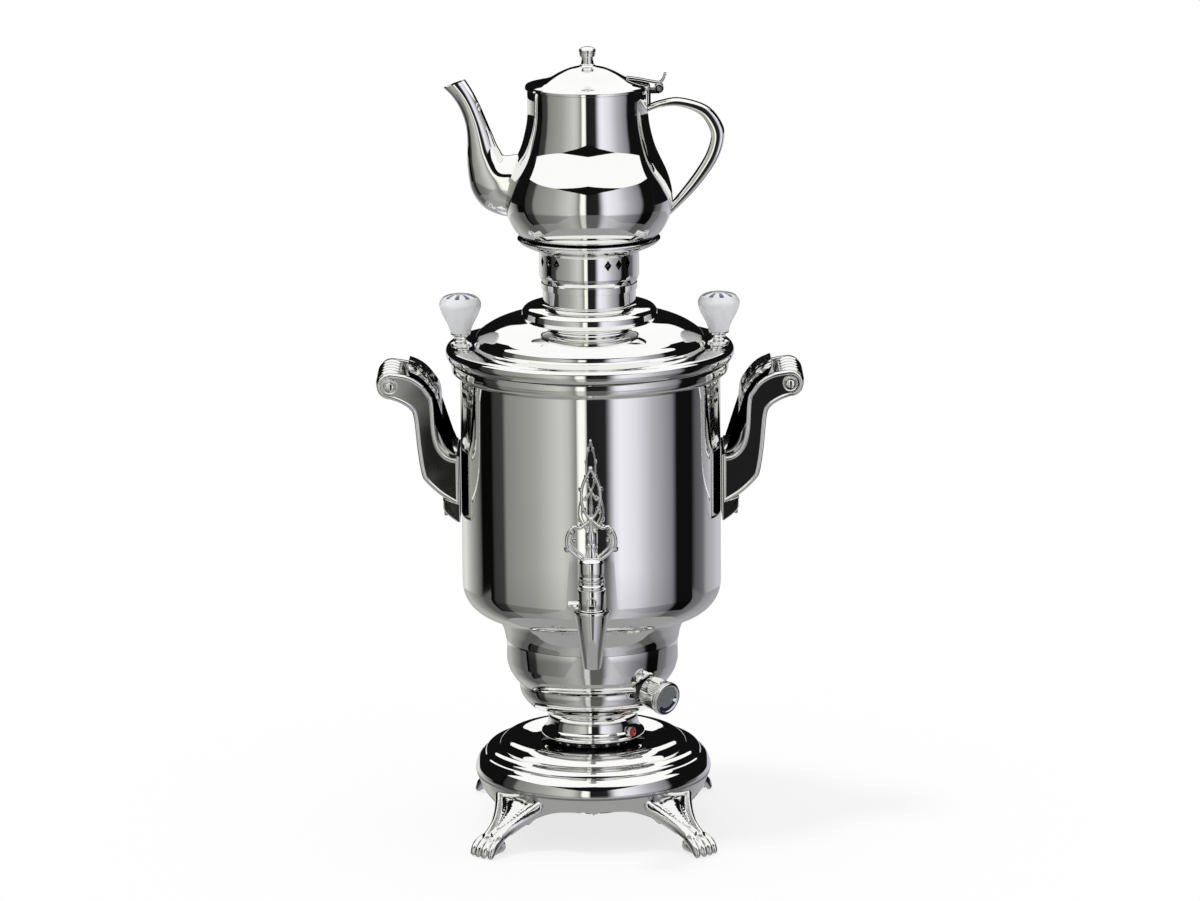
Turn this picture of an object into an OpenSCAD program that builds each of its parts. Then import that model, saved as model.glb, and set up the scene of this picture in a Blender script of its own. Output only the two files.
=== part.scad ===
// Electric samovar with a lift-off lid, a gallery on the lid's neck and a teapot that stands on it.
// The tank's axis is Z, the table is z = 0 and the tap faces -Y.

/* [Tank] */
// Outer diameter of the water tank
tank_d = 190; // [170:1:210]
// Height of the tank from its floor to its top edge
tank_h = 190; // [170:1:220]
// Thickness of the tank's sheet
tank_wall = 1; // [0.8:0.1:1.5]
// Radius of the tank's rounded bottom corner
tank_corner_r = 24; // [18:1:28]
// Height of the bead around the tank's top edge
rim_h = 12; // [8:0.5:16]
// How far the bead stands out from the tank
rim_out = 6; // [3:0.5:8]

/* [Stand] */
// Thickness of the sheet of the stand, the lid and the gallery
sheet = 1; // [0.8:0.1:1.2]
// Height of the cover plate's underside over the table
deck_z = 41; // [37:1:45]
// Largest radius of the stand's dome
dome_r = 87; // [80:1:94]
// Height of the stand's dome
dome_h = 21.5; // [18:0.5:26]
// Height of the waist between the dome and the lower housing
waist_h = 25; // [20:1:32]
// Radius of the waist at its narrowest
waist_r = 33; // [30:0.5:36]
// Radius of the housing's lower bowl
bowl_r = 53.7; // [50:0.5:56]
// Height of the housing's lower bowl
bowl_h = 22; // [18:1:26]
// Radius of the housing's upper cup
cup_r = 63; // [60:0.5:66]
// Height of the housing's upper cup
cup_h = 32; // [28:1:38]
// Height of the funnel under the tank
funnel_h = 19; // [15:1:24]
// Height of the skirt between two feet
skirt_h = 10; // [7:0.5:14]
// How much further the skirt hangs down beside a foot
skirt_drop = 16; // [12:0.5:18]

/* [Feet] */
// How far a foot's sole stands out from the stand's dome
foot_out = 26; // [20:1:32]
// Radius of the flat sole
sole_r = 8; // [6:0.5:9]
// Length of a foot's paw
paw_l = 26; // [22:1:30]

/* [Lid] */
// Radius of the lid's outer flange
lid_r = 105; // [103:0.5:108]
// Height of the lid's outer flange
flange_h = 9.5; // [7:0.5:12]
// Radius of the lid's large dome
lid_dome_r = 83; // [78:0.5:86]
// Height of the large dome over the flange
lid_dome_h = 21; // [16:0.5:26]
// Radius of the small dome that carries the neck
small_dome_r = 49.5; // [46:0.5:54]
// Height of the small dome
small_dome_h = 9.5; // [7:0.5:12]
// Outer radius of the steam neck
neck_r = 33.8; // [31:0.1:34.4]
// Height of the steam neck over the lid
neck_h = 11; // [9:0.5:16]
// Distance of a lid knob from the axis
knob_at_r = 94; // [92:0.5:97]
// Largest radius of a porcelain lid knob
knob_r = 15.2; // [13:0.2:17]
// Height of a porcelain lid knob
knob_h = 29; // [25:0.5:33]
// Height of the metal stem under a lid knob
stem_h = 8.5; // [7:0.5:12]

/* [Gallery] */
// Outer radius of the pierced collar
collar_r = 36.4; // [35.5:0.1:38]
// Height of the pierced collar with its foot
collar_h = 27; // [24:0.5:32]
// Half width of one diamond hole
diamond_w = 2.7; // [1.5:0.1:3.2]
// Half height of one diamond hole
diamond_h = 4; // [2.5:0.1:4.5]
// Outer radius of the gallery's rim
gallery_r = 51.3; // [49:0.1:54]
// Height from the gallery's plate to the top of its rim
gallery_lip = 4.5; // [3:0.5:5]

/* [Teapot] */
// Height of the teapot's body
pot_h = 114; // [105:1:125]
// Radius of the pot's belly
belly_r = 61; // [57:0.5:64]
// Radius of the pot's mouth
mouth_r = 43.6; // [41:0.2:46]
// Thickness of the pot's sheet
pot_wall = 0.9; // [0.7:0.1:1.2]
// Height of the pot's lid without its knob
pot_lid_h = 16; // [13:0.5:20]
// Distance of the hinge pin from the pot's axis
hinge_x = 51.5; // [50:0.1:53]
// Radius of the hinge pin
hinge_pin_r = 1; // [0.8:0.1:1.2]
// Radius of the hinge knuckles
knuckle_r = 3.2; // [2.8:0.1:3.6]
// Width of the hinge
hinge_w = 14; // [12:0.5:18]
// Reach of the pot's strap handle from the pot's axis
strap_reach = 97.5; // [92:0.5:103]
// Width of the pot's strap handle
strap_w = 15; // [12:0.5:18]

/* [Side handles] */
// Width of a side handle from front to back
handle_w = 60; // [54:1:68]
// Thickness of a handle's cast cheek
cheek_t = 6; // [5:0.5:8]
// Radius of the turned grip
grip_r = 10.5; // [9:0.5:12]
// Distance of the grip's axis from the tank's wall
grip_out = 50; // [46:1:54]
// Height of the grip's axis over the tank's floor
grip_z = 175.5; // [170:0.5:180]
// Radius of the rod through the grip
rod_r = 3; // [2.5:0.1:3.5]

/* [Tap] */
// Distance of the plug's axis from the tank's wall
tap_out = 45; // [40:1:50]
// Height of the tap's barrel over the tank's floor
tap_up = 44; // [38:1:52]
// Radius of the shank through the tank's wall
shank_r = 6.5; // [6:0.1:6.8]
// Radius of the water way
way_r = 4; // [3:0.1:4.2]
// Radius of the tap's plug
plug_r = 6; // [5.5:0.1:6.5]
// Radius of the tap's barrel
barrel_r = 10.2; // [9.5:0.1:11]
// Radius of the nozzle's outlet
outlet_r = 5; // [4.5:0.1:5.4]
// Height of the nozzle
nozzle_h = 42.5; // [36:0.5:48]
// Height of the pierced key over its socket
key_h = 66; // [58:1:74]
// Width of the pierced key
key_w = 36; // [32:1:40]

/* [Controls] */
// Angle of the thermostat from the tap, towards the right
thermostat_turn = 43; // [38:1:50]
// How far the thermostat's axis points down
thermostat_tilt = 9; // [5:1:12]
// Radius of the thermostat's knob
dial_r = 12.5; // [11:0.5:14]
// Length of the thermostat's knob
dial_h = 19; // [16:0.5:22]
// Radius of the pilot lamp's lens
lamp_r = 3.2; // [2.6:0.1:3.6]
// Angle of the pilot lamp from the tap, towards the right
lamp_turn = 52; // [46:1:60]

/* [Fits] */
// Radial clearance of parts that turn in each other
running = 0.05; // [0.03:0.01:0.08]
// Clearance of parts that are passed through a hole
clear = 0.3; // [0.2:0.05:0.4]
// Gap between curved faces that would otherwise touch
seat = 0.2; // [0.1:0.05:0.3]

/* [Hidden] */
$fn = 96;
EPS = 0.01;

// Heights of the seats, each one built up from the piece below it
plate_t = 1.5;
dome_z = deck_z + plate_t;
waist_z = dome_z + dome_h;
bowl_z = waist_z + waist_h;
step_z = bowl_z + bowl_h;
funnel_z = step_z + cup_h;
floor_z = funnel_z + funnel_h;
tank_top = floor_z + tank_h;
lid_z = tank_top + sheet;
flange_z = lid_z + flange_h;
small_z = flange_z + lid_dome_h;
crest_z = small_z + small_dome_h;
crown_z = crest_z + neck_h;
pan_z = crown_z + collar_h;
pot_z = pan_z + 5;
mouth_z = pot_z + pot_h;
pot_lid_top = mouth_z + pot_lid_h;
tank_r = tank_d / 2;

// Points on an arc from angle a to angle b
function arc(x, y, r, a, b, n = 8) = [for (i = [0:n]) [x + r * cos(a + (b - a) * i / n),
    y + r * sin(a + (b - a) * i / n)]];
// One point of a smooth curve through four neighbours
function blend(a, b, c, d, t) = 0.5 * (2 * b + (c - a) * t + (2 * a - 5 * b + 4 * c - d) * t * t
    + (3 * b - a - 3 * c + d) * t * t * t);
// A smooth curve through all the points of a list
function curve(p, n = 3) = let (m = len(p) - 1) concat([for (i = [0:m - 1], k = [0:n - 1])
    blend(p[max(i - 1, 0)], p[i], p[i + 1], p[min(i + 2, m)], k / n)], [p[m]]);
function unit(v) = v / norm(v);
function slope(p, i) = unit(p[min(i + 1, len(p) - 1)] - p[max(i - 1, 0)]);
// The same path moved sideways to its left by t
function inset(p, t) = [for (i = [0:len(p) - 1]) let (s = slope(p, i)) p[i] + t * [-s[1], s[0]]];
// The end of a sheet is cut level or upright, so that it seats flat
function square_end(q, s, t) = abs(s[1]) >= abs(s[0]) ? q - [sign(s[1]) * t, 0] : q + [0, sign(s[0]) * t];
function inner_side(p, t) = let (n = len(p) - 1, all = inset(p, t))
    [for (i = [0:n]) i == 0 || i == n ? square_end(p[i], slope(p, i), t) : all[i]];
function reverse(p) = [for (i = [len(p) - 1:-1:0]) p[i]];

// Sheet of thickness t turned from a path that runs upwards with its outside on the right
module turned_sheet(path, t = sheet) {
    rotate_extrude() polygon(concat(path, reverse(inner_side(path, t))));
}

module ring(r_out, r_in, z, h) {
    translate([0, 0, z]) difference() {
        cylinder(r = r_out, h = h);
        translate([0, 0, -1]) cylinder(r = r_in, h = h + 2);
    }
}

// Turns a piece drawn towards -Y to an angle on the right of the tap
module turned_to(angle) {
    rotate([0, 0, angle]) children();
}

// ---- Stand ----
foot_angles = [42, 138, 222, 318];
foot_r = dome_r + foot_out;
skirt_low_r = dome_r - 13;
skirt_top_r = dome_r - 0.8;
leg_root_r = dome_r - 5;
foot_screw_z = deck_z - 14;
foot_screw_r = 1.6;

// Radius of the skirt's outer face at a height
function skirt_r_at(z) = skirt_low_r + (skirt_top_r - skirt_low_r)
    * pow((z - deck_z + skirt_h + skirt_drop) / (skirt_h + skirt_drop), 0.8);

dome_path = concat(
    curve([[dome_r - 0.5, dome_z], [dome_r, dome_z + 0.09 * dome_h], [dome_r - 0.7, dome_z + 0.26 * dome_h],
        [dome_r - 3, dome_z + 0.5 * dome_h], [dome_r - 6, dome_z + 0.63 * dome_h]]),
    curve([[dome_r - 7, dome_z + 0.645 * dome_h], [dome_r - 8.5, dome_z + 0.78 * dome_h],
        [dome_r - 11.5, dome_z + 0.87 * dome_h], [dome_r - 16, dome_z + 0.893 * dome_h]]),
    curve([[dome_r - 17.5, dome_z + 0.907 * dome_h], [dome_r - 19.5, waist_z + 1],
        [dome_r - 23.5, waist_z + 3.8], [dome_r - 29, waist_z + 4.3], [dome_r - 35, waist_z + 2.8],
        [dome_r - 42, waist_z + 0.8], [waist_r + 5, waist_z]]));

module base_dome() {
    color("silver") {
        turned_sheet(dome_path);
        ring(waist_r + 6, waist_r - 12, waist_z - sheet, sheet);
    }
}

// The skirt is a flared sheet whose lower edge is cut in an arch between two feet
module base_skirt() {
    levels = [for (i = [0:5]) deck_z - (skirt_h + skirt_drop) * (1 - i / 5)];
    color("silver") difference() {
        turned_sheet([for (z = levels) [skirt_r_at(z), z]]);
        for (a = [0:90:270]) rotate([0, 0, a]) translate([0, 0, deck_z - skirt_h - skirt_drop])
            rotate([90, 0, 0]) linear_extrude(dome_r + 10) polygon(concat(
                [[-0.57 * dome_r, -1]], curve([[-0.565 * dome_r, 0.4], [-0.5 * dome_r, 0.4 * skirt_drop],
                [-0.42 * dome_r, 0.68 * skirt_drop], [-0.32 * dome_r, 0.92 * skirt_drop],
                [-0.22 * dome_r, skirt_drop], [-0.06 * dome_r, skirt_drop], [0, skirt_drop - 1.5],
                [0.06 * dome_r, skirt_drop], [0.22 * dome_r, skirt_drop], [0.32 * dome_r, 0.92 * skirt_drop],
                [0.42 * dome_r, 0.68 * skirt_drop], [0.5 * dome_r, 0.4 * skirt_drop],
                [0.565 * dome_r, 0.4]]), [[0.57 * dome_r, -1]]));
        for (a = foot_angles) rotate([0, 0, a]) translate([0, 0, foot_screw_z]) rotate([90, 0, 0])
            cylinder(r = foot_screw_r + clear, h = dome_r + 10);
    }
}

plate_hole_r = dome_r - 30;

module cover_plate() {
    color("dimgray") difference() {
        translate([0, 0, deck_z]) cylinder(r = dome_r - 0.7, h = plate_t);
        translate([0, 0, deck_z - 1]) cylinder(r = rod_r + clear, h = plate_t + 2);
        for (a = [0:30:330]) rotate([0, 0, a]) translate([plate_hole_r - 18, 0, deck_z - 1])
            cylinder(r = 3, h = plate_t + 2);
        for (a = [0:90:270]) rotate([0, 0, a]) translate([plate_hole_r, 0, deck_z - 1])
            cylinder(r = 1.6 + clear, h = plate_t + 2);
    }
}

module cover_plate_screws() {
    color("gray") for (a = [0:90:270]) rotate([0, 0, a]) translate([plate_hole_r, 0, 0]) {
        translate([0, 0, deck_z - 2]) cylinder(r = 3.2, h = 2);
        translate([0, 0, deck_z - 1]) cylinder(r = 1.6, h = plate_t + 7);
    }
}

// Cast foot with a fan-shaped leg, seated on the skirt's outer face, and a paw of four toes
module foot(angle) {
    toe_r = 3.4;
    color("silver") rotate([0, 0, angle]) difference() {
        union() {
            hull() {
                for (s = [-1, 1]) translate([s * 13, -leg_root_r, deck_z - 10]) sphere(r = 2, $fn = 16);
                for (s = [-1, 1]) translate([s * 9, -leg_root_r + 3, deck_z - 22]) sphere(r = 2.4, $fn = 16);
                translate([0, -leg_root_r - 11, deck_z - 20]) sphere(r = 4, $fn = 20);
            }
            hull() {
                translate([0, -leg_root_r - 10, deck_z - 20.5]) sphere(r = 4.4, $fn = 20);
                translate([0, -foot_r + 5, 13]) sphere(r = 4, $fn = 20);
            }
            hull() {
                translate([0, -foot_r + 5, 12.5]) sphere(r = 4.3, $fn = 20);
                for (s = [-1, 1]) translate([s * 5, -foot_r - 2, 5.5]) sphere(r = 5, $fn = 20);
                translate([0, -foot_r + 7, 4.5]) sphere(r = 4, $fn = 20);
            }
            for (i = [-1.5:1:1.5]) hull() {
                translate([i * 4.6, -foot_r - 3, 5]) sphere(r = toe_r + 0.5, $fn = 16);
                translate([i * 5.8, -foot_r - paw_l / 2 + toe_r + abs(i), toe_r]) sphere(r = toe_r, $fn = 16);
            }
            translate([0, -foot_r, 0]) cylinder(r = sole_r, h = 4);
        }
        translate([0, -foot_r, -20]) cylinder(r = 60, h = 20);
        rotate_extrude() polygon(concat([[0, -1]], [for (i = [0:5])
            let (z = deck_z - (skirt_h + skirt_drop) * (1 - i / 5)) [skirt_r_at(z) + seat, z]],
            [[skirt_top_r + seat, deck_z + 20], [0, deck_z + 20]]));
        translate([0, 0, foot_screw_z]) rotate([90, 0, 0]) cylinder(r = foot_screw_r, h = leg_root_r + 5);
    }
}

module foot_front_left() { foot(-foot_angles[0]); }
module foot_front_right() { foot(foot_angles[0]); }
module foot_rear_left() { foot(foot_angles[2]); }
module foot_rear_right() { foot(foot_angles[1]); }

module foot_screws() {
    head_r = 3.2;
    head_at = skirt_r_at(foot_screw_z - head_r) - 1.1 * sheet - seat;
    color("gray") for (a = foot_angles) rotate([0, 0, a]) translate([0, 0, foot_screw_z]) {
        translate([0, -head_at + 2, 0]) rotate([90, 0, 0]) cylinder(r = head_r, h = 2);
        translate([0, -head_at + 1, 0]) rotate([90, 0, 0]) cylinder(r = foot_screw_r, h = 8);
    }
}

// ---- Waist and lower housing ----
lamp_z = waist_z + 0.44 * waist_h;

module waist_ring() {
    path = curve([[waist_r - 1, waist_z], [waist_r, waist_z + 0.12 * waist_h],
        [waist_r + 4.4, waist_z + 0.24 * waist_h], [waist_r + 5, waist_z + 0.32 * waist_h],
        [waist_r + 1.6, waist_z + 0.46 * waist_h], [waist_r, waist_z + 0.68 * waist_h],
        [waist_r + 0.3, waist_z + 0.86 * waist_h], [waist_r + 1.4, bowl_z]]);
    color("silver") difference() {
        union() {
            turned_sheet(path, 1.2);
            ring(waist_r + 1, waist_r - 12, bowl_z - sheet, sheet);
            ring(waist_r - 1.4, waist_r - 12, waist_z, sheet);
        }
        turned_to(lamp_turn) translate([0, 0, lamp_z]) rotate([90, 0, 0])
            cylinder(r = lamp_r + clear, h = dome_r);
    }
}

module pilot_lamp() {
    color("firebrick") turned_to(lamp_turn) translate([0, -waist_r - 3.6, lamp_z]) rotate([90, 0, 0])
        rotate_extrude() polygon(concat([[0, -9], [lamp_r, -9]],
            [for (i = [0:6]) [lamp_r * cos(15 * i), 2.4 * sin(15 * i)]]));
}

housing_path = concat([[waist_r + 4, bowl_z]],
    curve([[waist_r + 4.5, bowl_z + 0.2], [bowl_r - 9, bowl_z + 0.14 * bowl_h],
        [bowl_r - 3.6, bowl_z + 0.38 * bowl_h], [bowl_r - 0.4, bowl_z + 0.66 * bowl_h],
        [bowl_r, step_z - 0.6]]),
    curve([[bowl_r + 1.4, step_z], [bowl_r + 4.2, step_z + 0.11 * cup_h],
        [cup_r - 1.9, step_z + 0.28 * cup_h], [cup_r, step_z + 0.5 * cup_h]]),
    [[cup_r, funnel_z]]);

// A point on the thermostat's axis where it leaves the housing
socket_z = step_z + 2.7;
socket_r = 8;

module on_thermostat_axis() {
    turned_to(thermostat_turn) translate([0, -bowl_r, socket_z]) rotate([90 + thermostat_tilt, 0, 0])
        children();
}

inlet_z = funnel_z - 13;
inlet_w = 27;
inlet_h = 19;

module lower_housing() {
    color("silver") difference() {
        union() {
            turned_sheet(housing_path);
            ring(waist_r + 4.5, rod_r + clear, bowl_z, sheet);
            ring(cup_r, cup_r - 14, funnel_z - sheet, sheet);
        }
        on_thermostat_axis() translate([0, 0, -10]) cylinder(r = socket_r + clear, h = 30);
        translate([-inlet_w / 2 - clear, cup_r - 12, inlet_z - inlet_h / 2 - clear])
            cube([inlet_w + 2 * clear, 30, inlet_h + 2 * clear]);
    }
}

module lower_funnel() {
    top_r = tank_r - tank_corner_r;
    path = curve([[cup_r + 0.6, funnel_z], [cup_r + 2, funnel_z + 0.36 * funnel_h],
        [top_r - 3, funnel_z + 0.74 * funnel_h], [top_r - 0.4, floor_z]]);
    color("silver") {
        turned_sheet(path);
        ring(cup_r, cup_r - 14, funnel_z, sheet);
        ring(top_r - 1.2, cup_r - 12, floor_z - sheet, sheet);
    }
}

module power_inlet() {
    flange_t = 2.5;
    color("black") difference() {
        union() {
            translate([-inlet_w / 2, cup_r - 18, inlet_z - inlet_h / 2]) cube([inlet_w, 19, inlet_h]);
            translate([-inlet_w / 2 - 4, cup_r + seat, inlet_z - inlet_h / 2 - 2.5])
                cube([inlet_w + 8, flange_t, inlet_h + 5]);
        }
        translate([-inlet_w / 2 + 2, cup_r - 13, inlet_z - inlet_h / 2 + 2])
            cube([inlet_w - 4, 20, inlet_h - 4]);
    }
    color("goldenrod") for (x = [-7, 0, 7]) translate([x - 1, cup_r - 13, inlet_z - (x == 0 ? 2 : 5)])
        cube([2, 11, 4]);
}

// ---- Thermostat ----
spindle_r = 3;

module thermostat_body() {
    body_h = 20;
    neck_h = 4;
    color("dimgray") on_thermostat_axis() translate([0, 0, -7 - body_h - neck_h]) difference() {
        union() {
            cylinder(r = 14, h = body_h);
            translate([0, 0, body_h - EPS]) cylinder(r = 5, h = neck_h);
        }
        translate([0, 0, 6]) cylinder(r = spindle_r + running, h = body_h);
    }
}

module thermostat_socket() {
    color("black") on_thermostat_axis() translate([0, 0, -7]) difference() {
        cylinder(r = socket_r, h = 14);
        translate([0, 0, -1]) cylinder(r = spindle_r + clear, h = 16);
    }
}

knob_back = 8;

module thermostat_spindle() {
    color("gray") on_thermostat_axis() translate([0, 0, -24])
        cylinder(r = spindle_r, h = 24 + knob_back + 12);
}

module thermostat_knob() {
    color("silver") on_thermostat_axis() translate([0, 0, knob_back]) difference() {
        rotate_extrude() polygon(concat([[0, 0], [dial_r - 1.6, 0]],
            curve([[dial_r - 1, 1], [dial_r - 0.6, dial_h * 0.4], [dial_r - 0.6, dial_h - 4.2]]),
            [[dial_r, dial_h - 3.6], [dial_r, dial_h - 1], [dial_r - 1.2, dial_h],
            [dial_r - 2.6, dial_h], [dial_r - 3.2, dial_h - 1], [0, dial_h - 1]]));
        translate([0, 0, -1]) cylinder(r = spindle_r, h = 13);
    }
}

// ---- Tie rod, heater ----
nut_h = 5;

module tie_rod() {
    color("gray") translate([0, 0, deck_z - nut_h - 3])
        cylinder(r = rod_r, h = floor_z + tank_wall + nut_h + 3 - deck_z + nut_h + 3);
}

module tie_rod_nuts() {
    color("gray") for (z = [deck_z - nut_h, floor_z + tank_wall]) translate([0, 0, z]) difference() {
        cylinder(r = 7, h = nut_h, $fn = 6);
        translate([0, 0, -1]) cylinder(r = rod_r, h = nut_h + 2);
    }
}

element_r = cup_r - 17;
element_z = floor_z + tank_wall + 12;
tube_r = 4;
leg_turns = [15, 345];

module heating_element() {
    color("gray") {
        translate([0, 0, element_z]) rotate([0, 0, leg_turns[0]]) rotate_extrude(angle = 330)
            translate([element_r, 0]) circle(r = tube_r, $fn = 32);
        for (a = leg_turns) rotate([0, 0, a]) translate([element_r, 0, floor_z - 14])
            cylinder(r = tube_r, h = element_z - floor_z + 14);
        for (a = leg_turns) rotate([0, 0, a]) translate([element_r, 0, element_z]) sphere(r = tube_r + EPS);
    }
}

module element_nuts() {
    color("goldenrod") for (a = leg_turns, z = [floor_z - 5, floor_z + tank_wall]) rotate([0, 0, a])
        translate([element_r, 0, z]) difference() {
            cylinder(r = 7.5, h = z < floor_z ? 4 : 3, $fn = 6);
            translate([0, 0, -1]) cylinder(r = tube_r, h = 7);
        }
}

module thermal_cutout() {
    color("black") translate([0, 28, floor_z - 9]) {
        cylinder(r = 9, h = 9);
        translate([-3, -6, -5]) cube([1, 5, 6]);
        translate([2, -6, -5]) cube([1, 5, 6]);
    }
}

// ---- Tank ----
tap_z = floor_z + tap_up;

module tank() {
    corner_x = tank_r - tank_corner_r;
    corner_z = floor_z + tank_corner_r;
    color("silver") difference() {
        rotate_extrude() polygon(concat([[0, floor_z]], arc(corner_x, corner_z, tank_corner_r, -90, 0, 10),
            [[tank_r, tank_top], [tank_r - tank_wall, tank_top]],
            arc(corner_x, corner_z, tank_corner_r - tank_wall, 0, -90, 10), [[0, floor_z + tank_wall]]));
        translate([0, 0, tap_z]) rotate([90, 0, 0]) cylinder(r = shank_r + clear, h = tank_d);
        translate([0, 0, floor_z - 1]) cylinder(r = rod_r + clear, h = 5);
        for (a = leg_turns) rotate([0, 0, a]) translate([element_r, 0, floor_z - 1])
            cylinder(r = tube_r + clear, h = 5);
    }
}

module top_rim() {
    z = tank_top - rim_h;
    path = concat(curve([[tank_r + seat, z], [tank_r + 0.4 * rim_out, z + 0.1 * rim_h],
        [tank_r + 0.9 * rim_out, z + 0.3 * rim_h], [tank_r + rim_out, z + 0.55 * rim_h],
        [tank_r + rim_out, z + 0.8 * rim_h], [tank_r + rim_out - 0.6, lid_z]]));
    color("silver") rotate_extrude() polygon(concat(path, [[tank_r - tank_wall, lid_z],
        [tank_r - tank_wall, tank_top], [tank_r + seat, tank_top]]));
}

// ---- Tap ----
plug_y = -tank_r - tap_out;
barrel_z = tap_z - 8.5;
barrel_h = 15.6;
gland_z = barrel_z + barrel_h;
gland_h = 6;
socket_base = gland_z + gland_h + 0.2;
socket_top = socket_base + 17;
stem_r = 4.5;

// Draws along the shank, from the plug towards the tank
module along_shank(y) {
    translate([0, y, tap_z]) rotate([-90, 0, 0]) children();
}

module tap_body() {
    side_screw_r = 3.2;
    color("silver") difference() {
        union() {
            along_shank(plug_y) cylinder(r = shank_r, h = tap_out + 13);
            translate([0, plug_y, barrel_z]) cylinder(r = barrel_r, h = barrel_h);
            translate([-barrel_r - 7, plug_y, barrel_z + 3.4]) rotate([0, 90, 0])
                cylinder(r = side_screw_r, h = 9);
        }
        translate([0, plug_y, barrel_z + 1.5]) cylinder(r = plug_r + running, h = barrel_h);
        translate([0, plug_y, barrel_z - 1]) cylinder(r = way_r, h = 3);
        along_shank(plug_y + way_r) cylinder(r = way_r, h = tap_out + 20);
    }
}

// Rosette on the outside of the tank, hollowed to lie on its wall
module tap_escutcheon() {
    color("silver") difference() {
        along_shank(-tank_r - 4) rotate_extrude() polygon([[shank_r + clear, 0], [shank_r + 1.4, 0],
            [shank_r + 2.6, 1.2], [shank_r + 2.6, 2.6], [shank_r + 3.2, 3.2], [shank_r + 3.2, 14],
            [shank_r + clear, 14]]);
        translate([0, 0, tap_z - 30]) cylinder(r = tank_r + seat, h = 60, $fn = 360);
    }
}

module tap_seal() {
    color("black") intersection() {
        along_shank(-tank_r) difference() {
            cylinder(r = 11, h = tank_wall + 3);
            translate([0, 0, -1]) cylinder(r = shank_r + clear, h = 10);
        }
        translate([0, 0, tap_z - 30]) cylinder(r = tank_r - tank_wall - seat, h = 60, $fn = 360);
    }
}

module tap_nut() {
    color("goldenrod") along_shank(-tank_r + tank_wall + 3.2) difference() {
        cylinder(r = 12, h = 5, $fn = 6);
        translate([0, 0, -1]) cylinder(r = shank_r + running, h = 8);
    }
}

module tap_gland() {
    color("silver") translate([0, plug_y, gland_z]) difference() {
        rotate_extrude() polygon(concat([[0, 0]], arc(barrel_r - 2, 1.6, 1.6, -90, 90, 6),
            arc(barrel_r - 2.4, 4.6, 1.4, -90, 90, 6), [[0, gland_h]]));
        translate([0, 0, -1]) cylinder(r = stem_r + running, h = gland_h + 2);
    }
}

module tap_nozzle() {
    top_r = outlet_r + 7.7;
    color("silver") translate([0, plug_y, barrel_z - nozzle_h]) difference() {
        union() {
            cylinder(r1 = outlet_r + 1.5, r2 = top_r - 0.4, h = nozzle_h - 3);
            translate([0, 0, nozzle_h - 3]) cylinder(r = top_r, h = 3);
        }
        translate([0, 0, -1]) cylinder(r = outlet_r, h = nozzle_h - 4);
        translate([0, 0, -1]) cylinder(r = way_r, h = nozzle_h + 2);
    }
}

// The plug is closed at rest: its side port looks along X, and a quarter turn brings it to the shank
module tap_plug() {
    color("goldenrod") translate([0, plug_y, 0]) difference() {
        union() {
            translate([0, 0, barrel_z + 1.6]) cylinder(r = plug_r, h = barrel_h - 1.8);
            translate([0, 0, gland_z - 1]) cylinder(r = stem_r, h = gland_h + 10);
        }
        translate([0, 0, barrel_z]) cylinder(r = way_r - 0.5, h = 11);
        translate([0, 0, tap_z]) rotate([0, 90, 0]) cylinder(r = way_r - 1, h = 20);
    }
}

module stroke(path, w) {
    polygon(concat(inset(path, w / 2), reverse(inset(path, -w / 2))));
}

// Outline of the pierced key: a lyre on a stem, and a pointed loop over it
module key_outline(w, h) {
    lyre = [[0.22, 0], [0.38, 0.13], [0.455, 0.21], [0.455, 0.275], [0.38, 0.37], [0.28, 0.43],
        [0.19, 0.395], [0.11, 0.45], [0, 0.5]];
    loop = [[0, 0.5], [0.085, 0.55], [0.165, 0.64], [0.185, 0.74], [0.145, 0.85], [0.065, 0.94], [0, 0.985]];
    for (s = [-1, 1]) {
        stroke([for (q = curve(lyre, 4)) [s * q[0] * w, q[1] * h]], 2.4);
        stroke([for (q = curve(loop, 4)) [s * q[0] * w, q[1] * h]], 2.2);
        translate([s * 0.3 * w, 0.175 * h]) circle(r = 1.7, $fn = 24);
        translate([s * 0.35 * w, 0.165 * h]) circle(r = 1.6, $fn = 24);
        translate([s * 0.47 * w, 0.12 * h]) circle(r = 1.4, $fn = 24);
        translate([s * 0.42 * w, 0.135 * h]) circle(r = 1.5, $fn = 24);
        translate([s * 0.33 * w, 0.44 * h]) circle(r = 2, $fn = 24);
        translate([s * 0.17 * w, 0.87 * h]) circle(r = 1.4, $fn = 24);
    }
    polygon([[-3.2, -2], [3.2, -2], [3.2, 0.24 * h], [2, 0.27 * h], [2.8, 0.35 * h], [1.6, 0.44 * h],
        [0, 0.49 * h], [-1.6, 0.44 * h], [-2.8, 0.35 * h], [-2, 0.27 * h], [-3.2, 0.24 * h]]);
    translate([0, 0.5 * h]) circle(r = 2.6, $fn = 24);
    translate([0, 0.98 * h]) circle(r = 1.6, $fn = 24);
}

module tap_key() {
    key_t = 4;
    color("silver") translate([0, plug_y, 0]) {
        difference() {
            translate([0, 0, socket_base]) rotate_extrude() polygon(concat([[0, 0], [8, 0]],
                arc(7.4, 1.5, 1.5, -60, 90, 5), [[8.6, 3.4], [8.9, 5], [8.9, 12]],
                arc(0, 12, 8.9, 0, 34, 4), [[0, 17]]));
            translate([0, 0, socket_base - 1]) cylinder(r = stem_r, h = 10.8);
        }
        translate([0, key_t / 2, socket_top - 1]) rotate([90, 0, 0]) linear_extrude(key_t)
            offset(delta = 0.1) key_outline(key_w, key_h);
    }
}

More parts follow.
